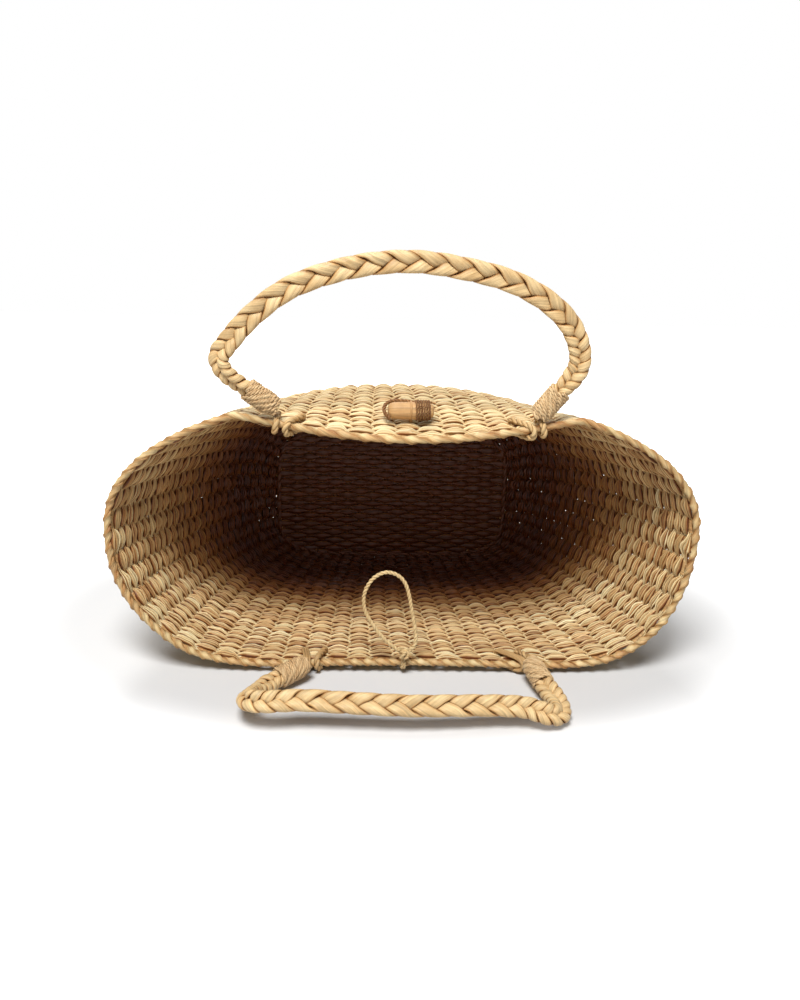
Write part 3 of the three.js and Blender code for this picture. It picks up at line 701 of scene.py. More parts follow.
STRAW_STOPS = [
    (0.0, (0.36, 0.19, 0.08)), (0.25, (0.60, 0.37, 0.165)), (0.5, (0.71, 0.54, 0.28)),
    (0.75, (0.80, 0.66, 0.385)), (1.0, (0.56, 0.52, 0.28)),
]
PLAIT_STOPS = [
    (0.0, (0.38, 0.22, 0.09)), (0.3, (0.60, 0.39, 0.175)), (0.6, (0.74, 0.53, 0.27)),
    (1.0, (0.82, 0.64, 0.36)),
]
BINDING_STOPS = [(0.0, (0.32, 0.18, 0.08)), (0.5, (0.58, 0.38, 0.19)), (1.0, (0.74, 0.54, 0.3))]
TOGGLE_STOPS = [(0.0, (0.25, 0.12, 0.045)), (0.5, (0.55, 0.32, 0.135)), (1.0, (0.7, 0.46, 0.23))]
CORD_STOPS = [(0.0, (0.4, 0.25, 0.11)), (0.5, (0.66, 0.46, 0.22)), (1.0, (0.8, 0.62, 0.34))]
MATERIALS = {
    name: reed_material(name, stops, **looks) for name, stops, looks in (
        ("woven_reed", STRAW_STOPS, {}),
        ("border_reed", STRAW_STOPS, {"contrast": 0.45}),
        ("plaited_reed", PLAIT_STOPS, {"contrast": 0.5, "bump": 0.32}),
        ("lashing_reed", PLAIT_STOPS, {"contrast": 0.45}),
        ("binding_cord", BINDING_STOPS, {"contrast": 0.4}),
        ("toggle_reed", TOGGLE_STOPS, {"striation": (0.05, 1.0), "contrast": 0.45}),
        ("twisted_cord", CORD_STOPS, {"contrast": 0.35}))
}


# Camera
def add_camera():
    data = bpy.data.cameras.new("camera")
    data.sensor_fit = "VERTICAL"
    data.sensor_height = SENSOR_HEIGHT
    data.lens = LENS_LENGTH
    camera = new_object("camera", data)
    turn = Matrix((CAMERA_RIGHT, CAMERA_UP, CAMERA_BACK)).transposed().to_4x4()
    camera.matrix_world = Matrix.Translation(CAMERA_PLACE) @ turn
    bpy.context.scene.camera = camera


# Cords: two plies twisted round a curve
def curve_through(points, per_span=24):
    """A centripetal Catmull-Rom curve through the points."""
    points = np.asarray(points, float)
    points = np.vstack([2 * points[0] - points[1], points, 2 * points[-1] - points[-2]])
    share = np.linspace(0, 1, per_span, endpoint=False)[:, None]
    spans = []
    for p0, p1, p2, p3 in zip(points, points[1:], points[2:], points[3:]):
        d0, d1, d2 = [np.linalg.norm(b - a) ** 0.5 for a, b in ((p0, p1), (p1, p2), (p2, p3))]
        t1 = ((p1 - p0) / d0 - (p2 - p0) / (d0 + d1) + (p2 - p1) / d1) * d1
        t2 = ((p2 - p1) / d1 - (p3 - p1) / (d1 + d2) + (p3 - p2) / d2) * d1
        c2 = -3 * p1 + 3 * p2 - 2 * t1 - t2
        c3 = 2 * p1 - 2 * p2 + t1 + t2
        spans.append(p1 + t1 * share + c2 * share ** 2 + c3 * share ** 3)
    return np.vstack([*spans, points[-2][None]])


def carried_frames(line, start):
    """Two directions square to the line, carried along it without twist."""
    forward = tangents(line)
    first = np.cross(forward[0], np.asarray(start, float))
    frames = [first / np.linalg.norm(first)]
    for direction in forward[1:]:
        kept = frames[-1] - direction * np.dot(frames[-1], direction)
        frames.append(kept / np.linalg.norm(kept))
    frames = np.array(frames)
    return frames, np.cross(forward, frames)


PLY_OFFSET = 0.46
PLY_STRAND = (0.62, 0.54)
PLY_TONE_SPREAD = 0.08
PLY_TONE_WAVE = 0.12
PLY_WAVE_LENGTH = 9


def two_ply(reeds, line, radius, pitch, tone, shade=1.0):
    """Two round plies twisted round a line, close to the given radius."""
    at = lengths_along(line)
    first, second = carried_frames(line, (0.3, 0.2, 1))
    for ply in range(2):
        angle = (2 * np.pi * at / pitch + np.pi * ply)[:, None]
        out = first * np.cos(angle) + second * np.sin(angle)
        centre = line + out * radius * PLY_OFFSET
        ply_tone = tone + rng.normal(0, PLY_TONE_SPREAD) + PLY_TONE_WAVE * np.sin(at / PLY_WAVE_LENGTH + ply)
        wide = unit(np.cross(tangents(centre), out))
        reeds.strand(centre, wide, out, radius * PLY_STRAND[0], radius * PLY_STRAND[1],
                     ply_tone, shade, roundness=1)


def place_cords(name, slot, body, node, *cords):
    """One piece made of cords, each given by its line and its sizes."""
    reeds = Reeds()
    for line, cord in cords:
        two_ply(reeds, line, *cord)
    return place(name, reeds, slot, body, node)


# Closure loop
knot_low, knot_high = (np.array(corner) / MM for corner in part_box("closure_knot"))
KNOT_CENTRE = (knot_low + knot_high) / 2 - SHIFT


def add_closure_loop():
    reach = KNOT_RADIUS + GAP
    ends = [np.array(LOOP_ROUTE[k], float) for k in (0, -1)]
    ends = [end / np.linalg.norm(end) * reach for end in ends]
    route = [(*point, 0) for point in [ends[0], *LOOP_ROUTE, ends[1]]]
    flat = resample(curve_through(route), LOOP_STEPS)
    lean = math.radians(90 - LOOP_LEAN)
    line = KNOT_CENTRE + np.stack([
        flat[:, 0], flat[:, 1] * math.cos(lean), flat[:, 1] * math.sin(lean)], -1)
    loop = place_cords("closure_loop_cord", "twisted_cord", "closure_loop", "closure_loop",
                       (line, LOOP_CORD))


# Woven wall
def row_shares():
    """Shares at the edges of the rows, which are all equally high on average."""
    steps = np.linalg.norm(np.diff(GRID, axis=0), axis=-1).mean(axis=1)
    length = np.concatenate([[0], np.cumsum(steps)])
    shares = np.linspace(0, 1, SHARE_CELLS + 1)
    border = np.interp(BORDER_SHARE, shares, length)
    return np.interp(np.linspace(0, border, WEFT_ROWS + 1), length, shares)


def row_tones(around):
    """Tone along one reed: a few lengths joined end to end, and each float a little different."""
    joins = np.sort(rng.uniform(0, 1, LENGTHS_PER_ROW - 1))
    lengths = rng.normal(*REED_TONE, LENGTHS_PER_ROW)
    floats = rng.normal(0, FLOAT_TONE_SPREAD, STAKES + 1)
    return lengths[np.searchsorted(joins, around)] + floats[np.round(around * STAKES).astype(int)]


def wobble(around, size, waves=5, quickest=40):
    """Gentle unevenness as a sum of waves with a random number of turns."""
    total = np.zeros_like(around)
    for turns in rng.integers(quickest // 20, quickest, waves):
        total += np.sin(2 * np.pi * (turns * around + rng.uniform()))
    return size * total / math.sqrt(waves)


def jitter(around, size):
    """Quicker unevenness, from one crossing to the next."""
    return wobble(around, size, waves=6, quickest=96)


def inside_shade(share, below, inward):
    """Painted shade on the inside of the reed, the deeper the darker. It fades within less on the lower wall.
    """
    dark, light = (mix(side, lower, below) for side, lower in zip(SIDE_WALL_FADE, LOWER_WALL_FADE))
    deep = mix(*INSIDE_SHADE, smooth(0, 1, (share - dark) / (light - dark)))
    return mix(1.0, deep, inward)


def row_shade(share, outward, inward, floats):
    """Painted shade round the reeds of a row: painted lighter on the lower and upper walls and darker on the
    side walls, with some floats lighter or darker than others at random.
    """
    lit = rng.normal(1, FLOAT_LIGHT_SPREAD, STAKES)[floats]
    below = smooth(*LOWER_FACING, outward[:, 2])
    above = smooth(*UPPER_FACING, outward[:, 2])
    share = share + mix(-SIDE_WALL_DARKER, LOWER_WALL_LIGHTER, below) + UPPER_WALL_LIGHTER * above
    lit = lit * mix(1.0, LOWER_WALL_PAINTED_LIGHT, below)
    return inside_shade(share[:, None], below[:, None], inward) * mix(1.0, lit[:, None], inward)


def add_row(reeds, row, low, high):
    """One row of the wall: three reeds side by side, bent together round the stakes."""
    around = evenly_round(STEPS_PER_STAKE)
    share = (low + high) / 2 + (high - low) * wobble(around, ROW_WANDER)
    surface, outward, mouthward = wall_frame(around, share)
    pitch = np.linalg.norm(wall_frame(around, high)[0] - wall_frame(around, low)[0], axis=-1)
    phase = np.pi * (STAKES * around + row) + jitter(around, PHASE_JITTER)
    swing = np.cos(phase)
    over = np.abs(swing)
    passes = signed_power(swing, SWING_POWER)
    floats = np.round(around * STAKES).astype(int) % STAKES
    plump = rng.normal(1, PLUMP_SPREAD, STAKES)[floats]
    growth = LAST_ROW_GROWTH if row == WEFT_ROWS - 1 else 1
    width = growth * pitch * mix(WEFT_WIDTH_SHARE[0], WEFT_WIDTH_SHARE[1] * plump, over ** WIDTH_POWER)
    thick = growth * mix(WEFT_HALF_THICKNESS[0], WEFT_HALF_THICKNESS[1] * plump, over)
    line = surface + outward * (-WALL_THICKNESS / 2 + WEAVE_SWING * passes)[:, None]
    arch = WEFT_ARCH * (over - MEAN_SWING) + WEFT_SLANT * np.sin(phase) + jitter(around, ARCH_JITTER)
    line = keep_above(line - mouthward * arch[:, None], LOWEST_REED)
    forward = tangents(line, True)
    face = unit(np.cross(forward, mouthward))
    face *= np.sign(np.sum(face * outward, -1))[:, None]
    wide = np.cross(face, forward)
    angle = full_turn(WEFT_SIDES)
    out = signed_power(np.sin(angle), ROUNDNESS)
    inward = smooth(*INWARD_FACING, out[None, :] + PASS_TURNS_REED * passes[:, None])
    shade = row_shade(share, outward, inward, floats)
    parts = rng.uniform(*REED_SHARES, REEDS_PER_ROW)
    parts /= parts.sum()
    side_on = np.cos(angle)
    for part, centre in zip(parts, 2 * np.cumsum(parts) - parts - 1):
        middle = line + wide * (width * centre + jitter(around, REED_JITTER[0]))[:, None]
        crown = REED_CROWN * (1 - centre ** 2) * passes
        middle = keep_above(middle + face * (crown + jitter(around, REED_JITTER[1]))[:, None], LOWEST_REED)
        # Painted shade at the reed's edges, most at the row's outer edges, and painted light along its crown
        edge = np.where(side_on * centre > 0, *REED_EDGE_SHADE)
        edge = mix(REED_MIDDLE_PAINTED_LIGHT, edge, np.abs(side_on) ** REED_EDGE_POWER)
        # Painted shade: browner where the reed runs on the inside of the wall
        tone = row_tones(around) - INSIDE_PAINTED_BROWNING * smooth(*BEHIND_STAKE, passes)
        reeds.strand(middle, wide, face, width * (part + REED_OVERLAP), thick, tone,
                     shade * edge ** (1 + INSIDE_EDGE_GAIN * inward), WEFT_SIDES, True, roundness=1.0)


def add_wall():
    reeds = Reeds()
    edges = row_shares()
    for row in range(WEFT_ROWS):
        add_row(reeds, row, edges[row], edges[row + 1])
    place("woven_wall", reeds, "woven_reed", "basket",
          "front_wall", "left_end_wall", "back_wall", "right_end_wall")


def add_wall_stakes():
    stakes = Reeds()
    shares = np.linspace(0.0, BORDER_SHARE, STAKE_STEPS)
    for stake in range(STAKES):
        surface, outward, mouthward = wall_frame(np.full(STAKE_STEPS, stake / STAKES), shares)
        line = keep_above(surface - outward * WALL_THICKNESS / 2, LOWEST_STAKE)
        wide = unit(np.cross(outward, mouthward))
        before, after = (wall_frame((stake + half) / STAKES, shares)[0] for half in (-0.5, 0.5))
        cover = STAKE_COVER * np.linalg.norm(after - before, axis=-1)
        tone = rng.normal(*STAKE_TONE)
        # Painted shade: stakes darker, and darker still deep in the basket
        shade = STAKE_SHADE * mix(DEEP_STAKE_SHADE, 1.0, smooth(*STAKE_FADE, shares))
        stakes.strand(line, wide, outward, cover, STAKE_HALF_THICKNESS, tone, shade, sides=6)
    place("wall_stakes", stakes, "woven_reed", "basket")


def add_rim():
    """Two strands twisted round each other all round the mouth."""
    reeds = Reeds()
    around = evenly_round(RIM_STEPS_PER_STAKE)
    centre, outward, mouthward = rim_centre(around)
    centre = centre + outward * RIM_OUT - mouthward * RIM_BACK
    turns = RIM_TURNS * around - RIM_QUICKER_BELOW * np.sin(2 * np.pi * around)
    side_on = np.abs(np.cos(full_turn(RIM_SIDES)))
    for strand in range(2):
        angle = (-2 * np.pi * turns + np.pi * strand)[:, None]
        out = outward * np.cos(angle) + mouthward * np.sin(angle)
        line = centre + out * (RIM_OFFSET + wobble(around, RIM_WOBBLE[0]))[:, None]
        forward = tangents(line, True)
        wide = unit(np.cross(forward, out))
        thick = np.cross(forward, wide)
        segment = np.floor(2 * turns + strand).astype(int)
        tone = rng.normal(*RIM_TONE, 4 * STAKES)[segment]
        leaf = 1 - RIM_NARROWING + RIM_NARROWING * np.cos(2 * angle[:, 0])
        # Painted shade in the hollows of the twist and at the strands' edges
        shade = mix(RIM_HOLLOW_SHADE, 1.0, np.abs(np.cos(angle))) * (1 - RIM_EDGE_DARKER * side_on ** 3)
        reeds.strand(line, wide, thick, RIM_STRAND[0] * leaf + wobble(around, RIM_WOBBLE[1]),
                     RIM_STRAND[1], tone, shade, RIM_SIDES, True)
    place("rim_twist", reeds, "border_reed", "basket", "rim_border")


def base_reach(z):
    """Half the width of the base's weave at a height."""
    half = np.where(z >= BASE_WIDEST, BASE_TOP - BASE_WIDEST, BASE_WIDEST - BASE_BOTTOM) - BASE_HEIGHT_MARGIN
    rest = 1 - np.abs((z - BASE_WIDEST) / half) ** BASE_SQUARENESS
    return (BASE_WIDTH / 2 - BASE_SIDE_MARGIN) * np.maximum(0.02, rest) ** (1 / BASE_SQUARENESS)


def add_base():
    reeds = Reeds()
    levels = np.linspace(BASE_BOTTOM + BASE_ROW_MARGIN, BASE_TOP - BASE_ROW_MARGIN, BASE_ROWS)
    pitch = levels[1] - levels[0]
    # Painted shade on the inner side of the base's rows
    shade = mix(*BASE_SHADE, smooth(*BEHIND_STAKE, np.sin(full_turn(WEFT_SIDES))))
    for row, level in enumerate(levels):
        half = float(base_reach(level))
        x = np.linspace(-half, half, int(half * 2 / BASE_STAKE_SPACING * STEPS_PER_STAKE))
        swing = np.cos(np.pi * (x / BASE_STAKE_SPACING + 0.5 + row))
        over = np.abs(swing) ** BASE_SWING_POWER
        y = BASE_MIDDLE_Y + BASE_SWING * signed_power(swing, BASE_SWING_POWER)
        line = np.stack([x, y, np.full_like(x, level)], -1)
        thick = unit(np.cross(tangents(line), UP))
        width = pitch * mix(*BASE_WIDTH_SHARE, over)
        tone = rng.normal(*BASE_TONE)
        reeds.strand(line, UP, thick, width, mix(*BASE_HALF_THICKNESS, over), tone,
                     np.broadcast_to(shade, (len(x), WEFT_SIDES)))
    for stake in range(BASE_STAKES):
        x = (stake - (BASE_STAKES - 1) / 2) * BASE_STAKE_SPACING
        z = np.linspace(BASE_BOTTOM + BASE_SIDE_MARGIN, BASE_TOP - BASE_SIDE_MARGIN, BASE_ROWS)
        z = z[base_reach(z) > abs(x)]
        line = np.stack([np.full_like(z, x), np.full_like(z, BASE_MIDDLE_Y), z], -1)
        # Painted shade: the base's stakes are dark all over
        reeds.strand(line, RIGHT, INWARD, *BASE_STAKE_STRAND, sides=6)
    place("base_weave", reeds, "woven_reed", "basket", "base_mat")


def add_base_edge():
    """The twist that closes the base where the wall starts."""
    ring = Reeds()
    around = evenly_round(EDGE_STEPS_PER_STAKE)
    surface, outward, _ = wall_frame(around, 0.0)
    flat_out = unit(outward * [1, 0, 1])
    centre = surface - flat_out * EDGE_INSET
    centre[:, 1] = BASE_MIDDLE_Y
    for strand in range(2):
        angle = (2 * np.pi * STAKES / 2 * around + np.pi * strand)[:, None]
        out = flat_out * np.cos(angle) + INWARD * np.sin(angle)
        line = centre + out
        wide = unit(np.cross(tangents(line, True), out))
        # Painted shade on the side of the twist that faces into the basket
        shade = mix(*EDGE_SHADE, smooth(*EDGE_FACING, out[:, 1]))
        tone = BASE_TONE[0] + wobble(around, EDGE_TONE_WOBBLE)
        ring.strand(line, wide, out, *EDGE_STRAND, tone, shade, closed=True)
    place("base_edge_twist", ring, "woven_reed", "basket")


# Handles
def turned(points, handle):
    """From the handle's own flat drawing to its lean, about the pivot line through the rim."""
    turn = math.radians(handle["turn"])
    x, y, z = points[..., 0], points[..., 1], points[..., 2]
    return np.stack([x, y * math.cos(turn) - z * math.sin(turn), y * math.sin(turn) + z * math.cos(turn)], -1)


def pivot_of(handle):
    feet = [rim_centre(round_at(across, handle["side"]))[0] for across in handle["feet"]]
    return (feet[0] + feet[1]) / 2 * [0, 1, 1]


def foot_line(handle, end):
    """An end's tip at the rim, its direction, and where its binding starts and ends."""
    lean, droop = math.radians(handle["lean"][end]), math.radians(handle["droop"])
    flat = math.cos(droop)
    direction = np.array([math.sin(lean) * flat, math.cos(lean) * flat, math.sin(droop)])
    lift = handle["lift"]
    tip = np.array([handle["feet"][end], math.sqrt(FOOT_REACH ** 2 - lift ** 2), -lift])
    drop = (BOUND_CORE_RADIUS + BINDING_CORD_RADIUS * 2 + GAP) * abs(math.sin(lean))
    start = tip + direction * ((BINDING_REACH + drop - tip[1]) / direction[1])
    return tip, direction, start, start + direction * BINDING_LENGTH


def plait_line(handle, feet):
    """The plait's middle line from tip to tip, and how long each bound end is."""
    (tip, direction, _, end), (far_tip, far_direction, _, far_end) = feet
    arch = curve_through([
        end, end + direction * ARCH_STRAIGHT, *handle["arch"],
        far_end + far_direction * ARCH_STRAIGHT, far_end])
    trim, far_trim = handle["trim"]
    foot = np.linspace(tip + direction * trim, end, FOOT_STEPS)[:-1]
    far_foot = np.linspace(far_end, far_tip + far_direction * far_trim, FOOT_STEPS)[1:]
    line = resample(np.vstack([foot, arch, far_foot]), PLAIT_STEPS)
    return line, np.linalg.norm(end - tip) - trim, np.linalg.norm(far_end - far_tip) - far_trim


def plait_guides(handle, line, at):
    """The plait's line with its directions across and up, rolled as in the photo."""
    forward = tangents(line)
    flat = unit(np.cross(forward, UP))
    high = np.cross(flat, forward)
    roll = np.full(len(line), math.radians(handle["face"]))
    for middle, spread, degrees in handle["rolls"]:
        roll += math.radians(degrees) * np.exp(-((at / at[-1] - middle) / spread) ** 2)
    roll = roll[:, None]
    return line, flat * np.cos(roll) + high * np.sin(roll), high * np.cos(roll) - flat * np.sin(roll)


def add_handle(handle):
    name = handle["name"]
    pivot = pivot_of(handle)
    feet = [foot_line(handle, end) for end in (0, 1)]
    line, bound, far_bound = plait_line(handle, feet)
    at = lengths_along(line)
    to_go = at[-1] - at
    opened = smooth(*PLAIT_OPENS, at - bound) * smooth(*PLAIT_OPENS, to_go - far_bound)
    looser = smooth(*handle["tight"], at - bound) * smooth(*handle["tight"], to_go - far_bound)
    period = mix(TIGHT_PERIOD, PLAIT_PERIOD, looser)
    guides = plait_guides(handle, line, at)
    reeds = Reeds()
    for strand in range(3):
        add_strap(reeds, handle, pivot, at, guides, opened, period, strand)
    line, across, up = (turned(guide, handle) for guide in guides)
    # The plait's core, painted dark as shade
    reeds.strand(pivot + line, across, up, mix(*CORE_HALF_WIDTH, opened), *CORE_STRAND)
    place(f"{name}_braid", reeds, "plaited_reed", name, f"{name}_plait")
    for end, side in enumerate(("left", "right")):
        add_binding(handle, end, side, feet[end], pivot)


def add_strap(reeds, handle, pivot, at, guides, opened, period, strand):
    """A flat strap, folded at each edge of the plait, that passes over and under the other two."""
    cross = np.linspace(-1, 1, STRAP_COLUMNS)
    run = at / at[-1]
    width = mix(BOUND_SIZE[0], PLAIT_SIZE[0], opened)[:, None]
    height = mix(BOUND_SIZE[1], PLAIT_SIZE[1], opened)[:, None]
    slope = np.arctan(2 * width / period[:, None])
    rounds = np.concatenate([[0], np.cumsum(np.diff(at) / period[1:])])
    phase = (2 * np.pi * (rounds + strand / 3) + wobble(run, STRAP_WOBBLE[0]))[:, None]
    uneven = (1 + wobble(run, STRAP_WOBBLE[1]))[:, None]
    half = STRAP_COVER * period[:, None] / 6 * np.sin(slope) * uneven
    half = half * (1 - FOLD_PINCH * np.sin(phase) ** 6)
    turned_by = cross * half
    ahead = np.pi / width * turned_by * np.cos(slope)
    own = phase + ahead
    layer = own
    for _ in range(4):
        layer = phase + ahead * (LAYER_LAG[0] - LAYER_LAG[1] * np.cos(2 * layer))
    sideways = width / 2 * np.arcsin(FULLEST_SINE * np.sin(own)) / math.asin(FULLEST_SINE)
    swell = STRAP_SWELL[0] + STRAP_SWELL[1] * (1 - cross ** 2)
    upward = -height * signed_power(np.sin(2 * layer), 0.6) * swell
    along = np.clip(at[:, None] - turned_by * np.sin(slope), 0, at[-1])
    line, across, up = (
        np.stack([np.interp(along, at, guide[:, k]) for k in range(3)], -1) for guide in guides)
    middle = line + across * sideways[..., None] + up * upward[..., None]
    half_thick = STRAP_HALF_THICKNESS * np.sqrt(1.08 - cross ** 2)
    tone = rng.normal(handle["tone"], STRAP_TONE_SPREAD) + wobble(run, STRAP_WOBBLE[2])
    # Painted shade along the strap's edges
    shade = np.broadcast_to(1 - STRAP_EDGE_DARKER * np.abs(cross) ** 6, middle.shape[:2])
    middle = keep_above(pivot + turned(middle, handle), 2 * STRAP_HALF_THICKNESS)
    reeds.ribbon(middle, half_thick, tone, shade)


def add_binding(handle, end, side, foot, pivot):
    """Fine cord wound round the handle's end, one turn beside the next."""
    _, direction, start, _ = foot
    earlier, later = handle["wraps"][end]
    across = unit(np.cross(UP, direction))
    other = np.cross(direction, across)
    turns = np.linspace(0, WRAP_TURNS, WRAP_TURNS * WRAP_STEPS_PER_TURN)
    run = turns / WRAP_TURNS
    pitch = (BINDING_LENGTH + earlier + later - WRAP_END_GAP - 2 * WRAP_CORD_RADIUS) / WRAP_TURNS
    angle = (2 * np.pi * turns)[:, None]
    out = other * np.cos(angle) + across * np.sin(angle)
    radius = mix(WRAP_NARROW_RADIUS, WRAP_RADIUS, smooth(0, WRAP_NARROW_TURNS, turns))
    radius = radius + wobble(run, WRAP_WOBBLE[0])
    skew = WRAP_SKEW * np.sin(angle[:, 0] + 1.5 * np.sin(turns / 2))
    along = WRAP_CORD_RADIUS + pitch * turns + wobble(run, WRAP_WOBBLE[1]) + skew - earlier
    line = start + direction * along[:, None] + out * radius[:, None]
    name = handle["name"]
    place_cords(f"{name}_{side}_wrap", "binding_cord", name, f"{name}_{side}_binding",
                (pivot + turned(line, handle), WRAP_CORD))


# Lashings
def strip_route(side, at_rim, at_hole):
    """Places along a strip over the border and through its hole, with the direction across it."""
    over_border = STRIP_HUGS_RIM_AT
    over_wall = WALL_THICKNESS / 2 + STRIP_CLEARANCE + STRIP_THICKNESS / 2
    turn = np.radians([-90, -60, -30, 0, 30, 60, 90])
    profile = [(-over_border * math.cos(a), over_border * math.sin(a)) for a in turn]
    leg = [
        (HOLE_BELOW_RIM * STRIP_LEG_SHARE, over_wall + STRIP_LEG_BOW),
        (HOLE_BELOW_RIM - STRIP_TURN, over_wall),
    ]
    profile += [*leg, (HOLE_BELOW_RIM, 0), *((below, -out) for below, out in leg[::-1])]
    points, sideways = [], []
    for below, out in profile:
        slide = min(1, max(0, (below + over_border) / (HOLE_BELOW_RIM + over_border)))
        centre, outward, mouthward = rim_centre(round_at(mix(at_rim, at_hole, slide), side))
        points.append(centre - mouthward * below + outward * out)
        sideways.append(np.cross(mouthward, outward))
    return np.array(points), np.array(sideways)


def closed_smooth(points, count):
    """A closed curve through the points, led in and out by three of them."""
    per_span = 12
    curve = curve_through(np.vstack([points[-3:], points, points[:3]]), per_span)
    inner = curve[3 * per_span: (3 + len(points)) * per_span + 1]
    return resample(inner, count + 1)[:-1]


def add_lashing(name, side, at_rim, at_hole, flat, tone):
    """A closed strip that ties a handle: three flat reeds side by side, or a two-ply cord."""
    points, sideways = strip_route(side, at_rim, at_hole)
    line = keep_above(closed_smooth(points, STRIP_STEPS), LOWEST_STRIP)
    reeds = Reeds()
    if flat:
        forward = tangents(line, True)
        face = unit(np.cross(forward, unit(closed_smooth(sideways, STRIP_STEPS))))
        wide = np.cross(face, forward)
        for reed in (-1, 0, 1):
            reed_tone = rng.normal(*STRIP_REED_TONE)
            lift = face * rng.uniform(*STRIP_REED_LIFT)
            beside = line + wide * reed * STRIP_WIDTH * STRIP_REED_SPACING + lift
            reeds.strand(beside, wide, face, *STRIP_REED_STRAND, reed_tone, closed=True)
    else:
        two_ply(reeds, np.vstack([line, line[:1]]), *STRIP_CORD, tone)
    place(f"{name}_strip", reeds, "lashing_reed", "basket", name)


def add_lashings():
    for handle in (FRONT_HANDLE, BACK_HANDLE):
        for end, side in enumerate(("left", "right")):
            across = handle["feet"][end]
            for letter, hand, hole in zip("ab", (-1, 1), handle["holes"][end]):
                add_lashing(f"{handle['name']}_{side}_lashing_{letter}", handle["side"],
                            across + hand * STRIP_SPREAD, across + hole,
                            letter in handle["flat_lashings"], handle["lashing_tone"])


def knot_winding(steps, radius, stretch):
    """A small knot: a cord that goes twice round while it passes through three lobes."""
    turns = np.linspace(0, 2 * np.pi, steps)
    lobes = 0.62 + 0.38 * np.cos(3 * turns)
    winding = np.stack([lobes * np.cos(2 * turns), lobes * np.sin(2 * turns), np.sin(3 * turns)], -1)
    return winding * radius * stretch


def add_hitch_and_knot():
    points, sideways = strip_route(-1, LOOP_ACROSS, LOOP_ACROSS)
    line = closed_smooth(points, HITCH_STEPS)
    line = np.vstack([line, line[:1]])
    shift = unit(sideways.mean(axis=0)) * HITCH_CORD_SHIFT
    place_cords("closure_hitch_cord", "twisted_cord", "basket", "closure_hitch",
                (line - shift, HITCH_CORD), (line + shift, HITCH_CORD))
    winding = KNOT_CENTRE + knot_winding(160, KNOT_RADIUS - KNOT_INSET, (1, 1, 0.9))
    place_cords("closure_knot_cord", "twisted_cord", "basket", "closure_knot", (winding, KNOT_CORD))


# Toggle
def toggle_axes():
    """The roll's centre, with its own directions along it, across it and off the wall."""
    around = round_at(TOGGLE_ACROSS, 1)
    surface, outward, _ = wall_frame(around, 1 - TOGGLE_BELOW_RIM / BASKET_HEIGHT)
    second = unit(np.cross(outward, RIGHT))
    return surface + outward * ROLL_HEIGHT, np.stack([np.cross(second, outward), second, outward])


TOGGLE_ORIGIN, TOGGLE_AXES = toggle_axes()


def from_toggle(points):
    return TOGGLE_ORIGIN + points @ TOGGLE_AXES


def circle(x, radius, angle):
    """Places round the toggle's own length."""
    return np.stack([x + 0 * angle, radius * np.cos(angle), radius * np.sin(angle)], -1)


def leaf_roll():
    """A leaf rolled up round the toggle's length, as one closed body with a real slit along it."""
    sheet = np.linspace(0, 1, LEAF_STEPS)
    radius = TOGGLE_RADIUS * mix(LEAF_CORE_SHARE, 1.0, sheet ** 0.7)
    spiral = circle(0, radius, sheet * 2 * np.pi * LEAF_TURNS + LEAF_START)
    lift = np.cross(tangents(spiral), RIGHT) * LEAF_HALF_THICKNESS
    section = np.vstack([spiral + lift, (spiral - lift)[::-1]])
    steps = np.arange(len(sheet)) * 0.5
    along = np.concatenate([steps, steps[::-1]])
    places = np.sin(np.linspace(-np.pi / 2, np.pi / 2, ROLL_STEPS))
    roll = Reeds()
    for x in places:
        ring = section * mix(LEAF_CORE_SHARE, 1.0, (1 - np.abs(x) ** 7) ** 0.5)
        ring[:, 0] = x * TOGGLE_LENGTH / 2
        roll.points.append(from_toggle(ring))
        roll.grain.append(np.stack([ring[:, 0], along, np.zeros(len(along))], -1))
        roll.tone.append(LEAF_TONE[0] + LEAF_TONE[1] * np.sin(along / 6))
        roll.shade.append(np.ones(len(along)))
    roll.add_sheet_faces(ROLL_STEPS, LEAF_STEPS)
    return roll


def add_toggle():
    place("toggle_leaf_roll", leaf_roll(), "toggle_reed", "toggle", "toggle_roll")

    turns = np.linspace(0, TOGGLE_WRAP_TURNS, TOGGLE_WRAP_TURNS * 28)
    hug = TOGGLE_WRAP_RADIUS - TOGGLE_WRAP_NARROWS * smooth(*TOGGLE_WRAP_END, turns)
    spiral = circle(TOGGLE_WRAP_START + TOGGLE_WRAP_PITCH * turns, hug, 2 * np.pi * turns + 1)
    place_cords("toggle_wrap_cord", "toggle_reed", "toggle", "toggle_wrap",
                (from_toggle(spiral), TOGGLE_WRAP_CORD))

    band = Reeds()
    ring = circle(0, BAND_RADIUS, full_turn(64))
    band.strand(from_toggle(ring), RIGHT @ TOGGLE_AXES, unit(ring) @ TOGGLE_AXES, *BAND_STRAND, closed=True)
    stem = np.zeros((40, 3))
    stem[:, 0] = 0.3 * np.sin(np.linspace(0, 3, 40))
    stem[:, 2] = np.linspace(STEM_TOP, -ROLL_HEIGHT - STEM_BELOW_WALL, 40)
    two_ply(band, from_toggle(stem), *STEM_CORD)
    two_ply(band, from_toggle(resample(curve_through(SLING_ROUTE), 220)), *SLING_CORD)
    place("toggle_tie", band, "toggle_reed", "toggle", "toggle_band")

    centre = [0, 0, -(ROLL_HEIGHT + WALL_THICKNESS + GAP + TOGGLE_KNOT_RADIUS)]
    winding = centre + knot_winding(150, TOGGLE_KNOT_RADIUS - TOGGLE_KNOT_INSET, (1.25, 1, 0.95))
    place_cords("toggle_inner_knot", "toggle_reed", "toggle", "toggle_knot",
                (from_toggle(winding), TOGGLE_KNOT_CORD))


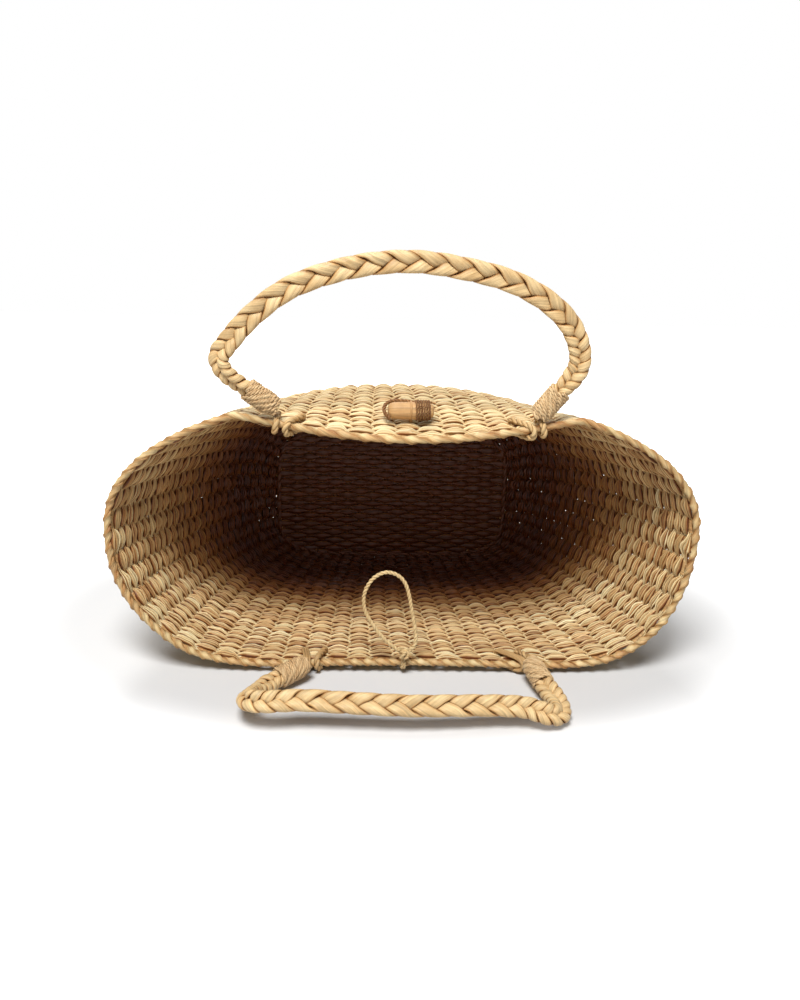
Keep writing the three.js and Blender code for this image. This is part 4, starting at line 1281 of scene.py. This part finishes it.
# Floor, light and background
def add_stage():
    """A paper floor that takes the basket's shadow, with a painted glow that whitens it away from the basket
    and leaves it greyer round it.
    """
    mesh = bpy.data.meshes.new("floor")
    corners = [(x * FLOOR_HALF_SIZE, y * FLOOR_HALF_SIZE, 0) for x, y in ((-1, -1), (1, -1), (1, 1), (-1, 1))]
    mesh.from_pydata(corners, [], [(0, 1, 2, 3)])
    new_object("floor", mesh)
    material = bpy.data.materials.new("floor_paper")
    nodes = Nodes(material)
    sight = nodes.seen_directly()
    bounced, direct = ((grey, grey, grey, 1) for grey in FLOOR_GREYS)
    paper = nodes.add("ShaderNodeMix", {"Factor": sight, "A": bounced, "B": direct}, "Result",
                      data_type="RGBA")
    matt = nodes.add("ShaderNodeBsdfDiffuse", {"Color": paper})
    where = nodes.add("ShaderNodeTexCoord", output="Object")
    around_basket = nodes.add("ShaderNodeMapping", {
        "Vector": where, "Location": FADE_MIDDLE, "Scale": FADE_SCALE})
    distance = nodes.add("ShaderNodeVectorMath", {0: around_basket}, "Value", operation="LENGTH")
    fade = nodes.add("ShaderNodeMapRange", {
        "Value": distance, "From Min": FLOOR_FADE[0], "From Max": FLOOR_FADE[1]},
        interpolation_type="SMOOTHSTEP")
    # Painted light: the floor glows where it is seen, more the further it is from the basket
    glow = nodes.add("ShaderNodeEmission", {"Strength": nodes.math("MULTIPLY", fade, sight)})
    nodes.add("ShaderNodeOutputMaterial", {0: nodes.add("ShaderNodeAddShader", {0: matt, 1: glow})})
    mesh.materials.append(material)


def add_lamp(name, lamp_place, energy):
    data = bpy.data.lights.new(name, "AREA")
    data.shape = "SQUARE"
    data.size = LAMP_SIZE
    data.energy = energy
    lamp = new_object(name, data)
    lamp.location = lamp_place
    lamp.rotation_euler = (Vector(LAMP_AIM) - Vector(lamp_place)).to_track_quat("-Z", "Y").to_euler()


def add_lights():
    """Two lamps and a dim world, whose background is white where it is seen."""
    add_lamp("key_light", *KEY_LIGHT)
    add_lamp("back_light", *BACK_LIGHT)
    world = bpy.data.worlds.new("studio")
    bpy.context.scene.world = world
    nodes = Nodes(world)
    light, white = (
        nodes.add("ShaderNodeBackground", {"Color": (1, 1, 1, 1), "Strength": strength})
        for strength in (WORLD_LIGHT, 1.0))
    shown = nodes.add("ShaderNodeMixShader", {0: nodes.seen_directly(), 1: light, 2: white})
    nodes.add("ShaderNodeOutputWorld", {0: shown})


bpy.context.scene.view_settings.view_transform = "Standard"
add_camera()
add_closure_loop()
add_wall()
add_wall_stakes()
add_rim()
add_base()
add_base_edge()
add_handle(FRONT_HANDLE)
add_handle(BACK_HANDLE)
add_lashings()
add_hitch_and_knot()
add_toggle()
add_stage()
add_lights()
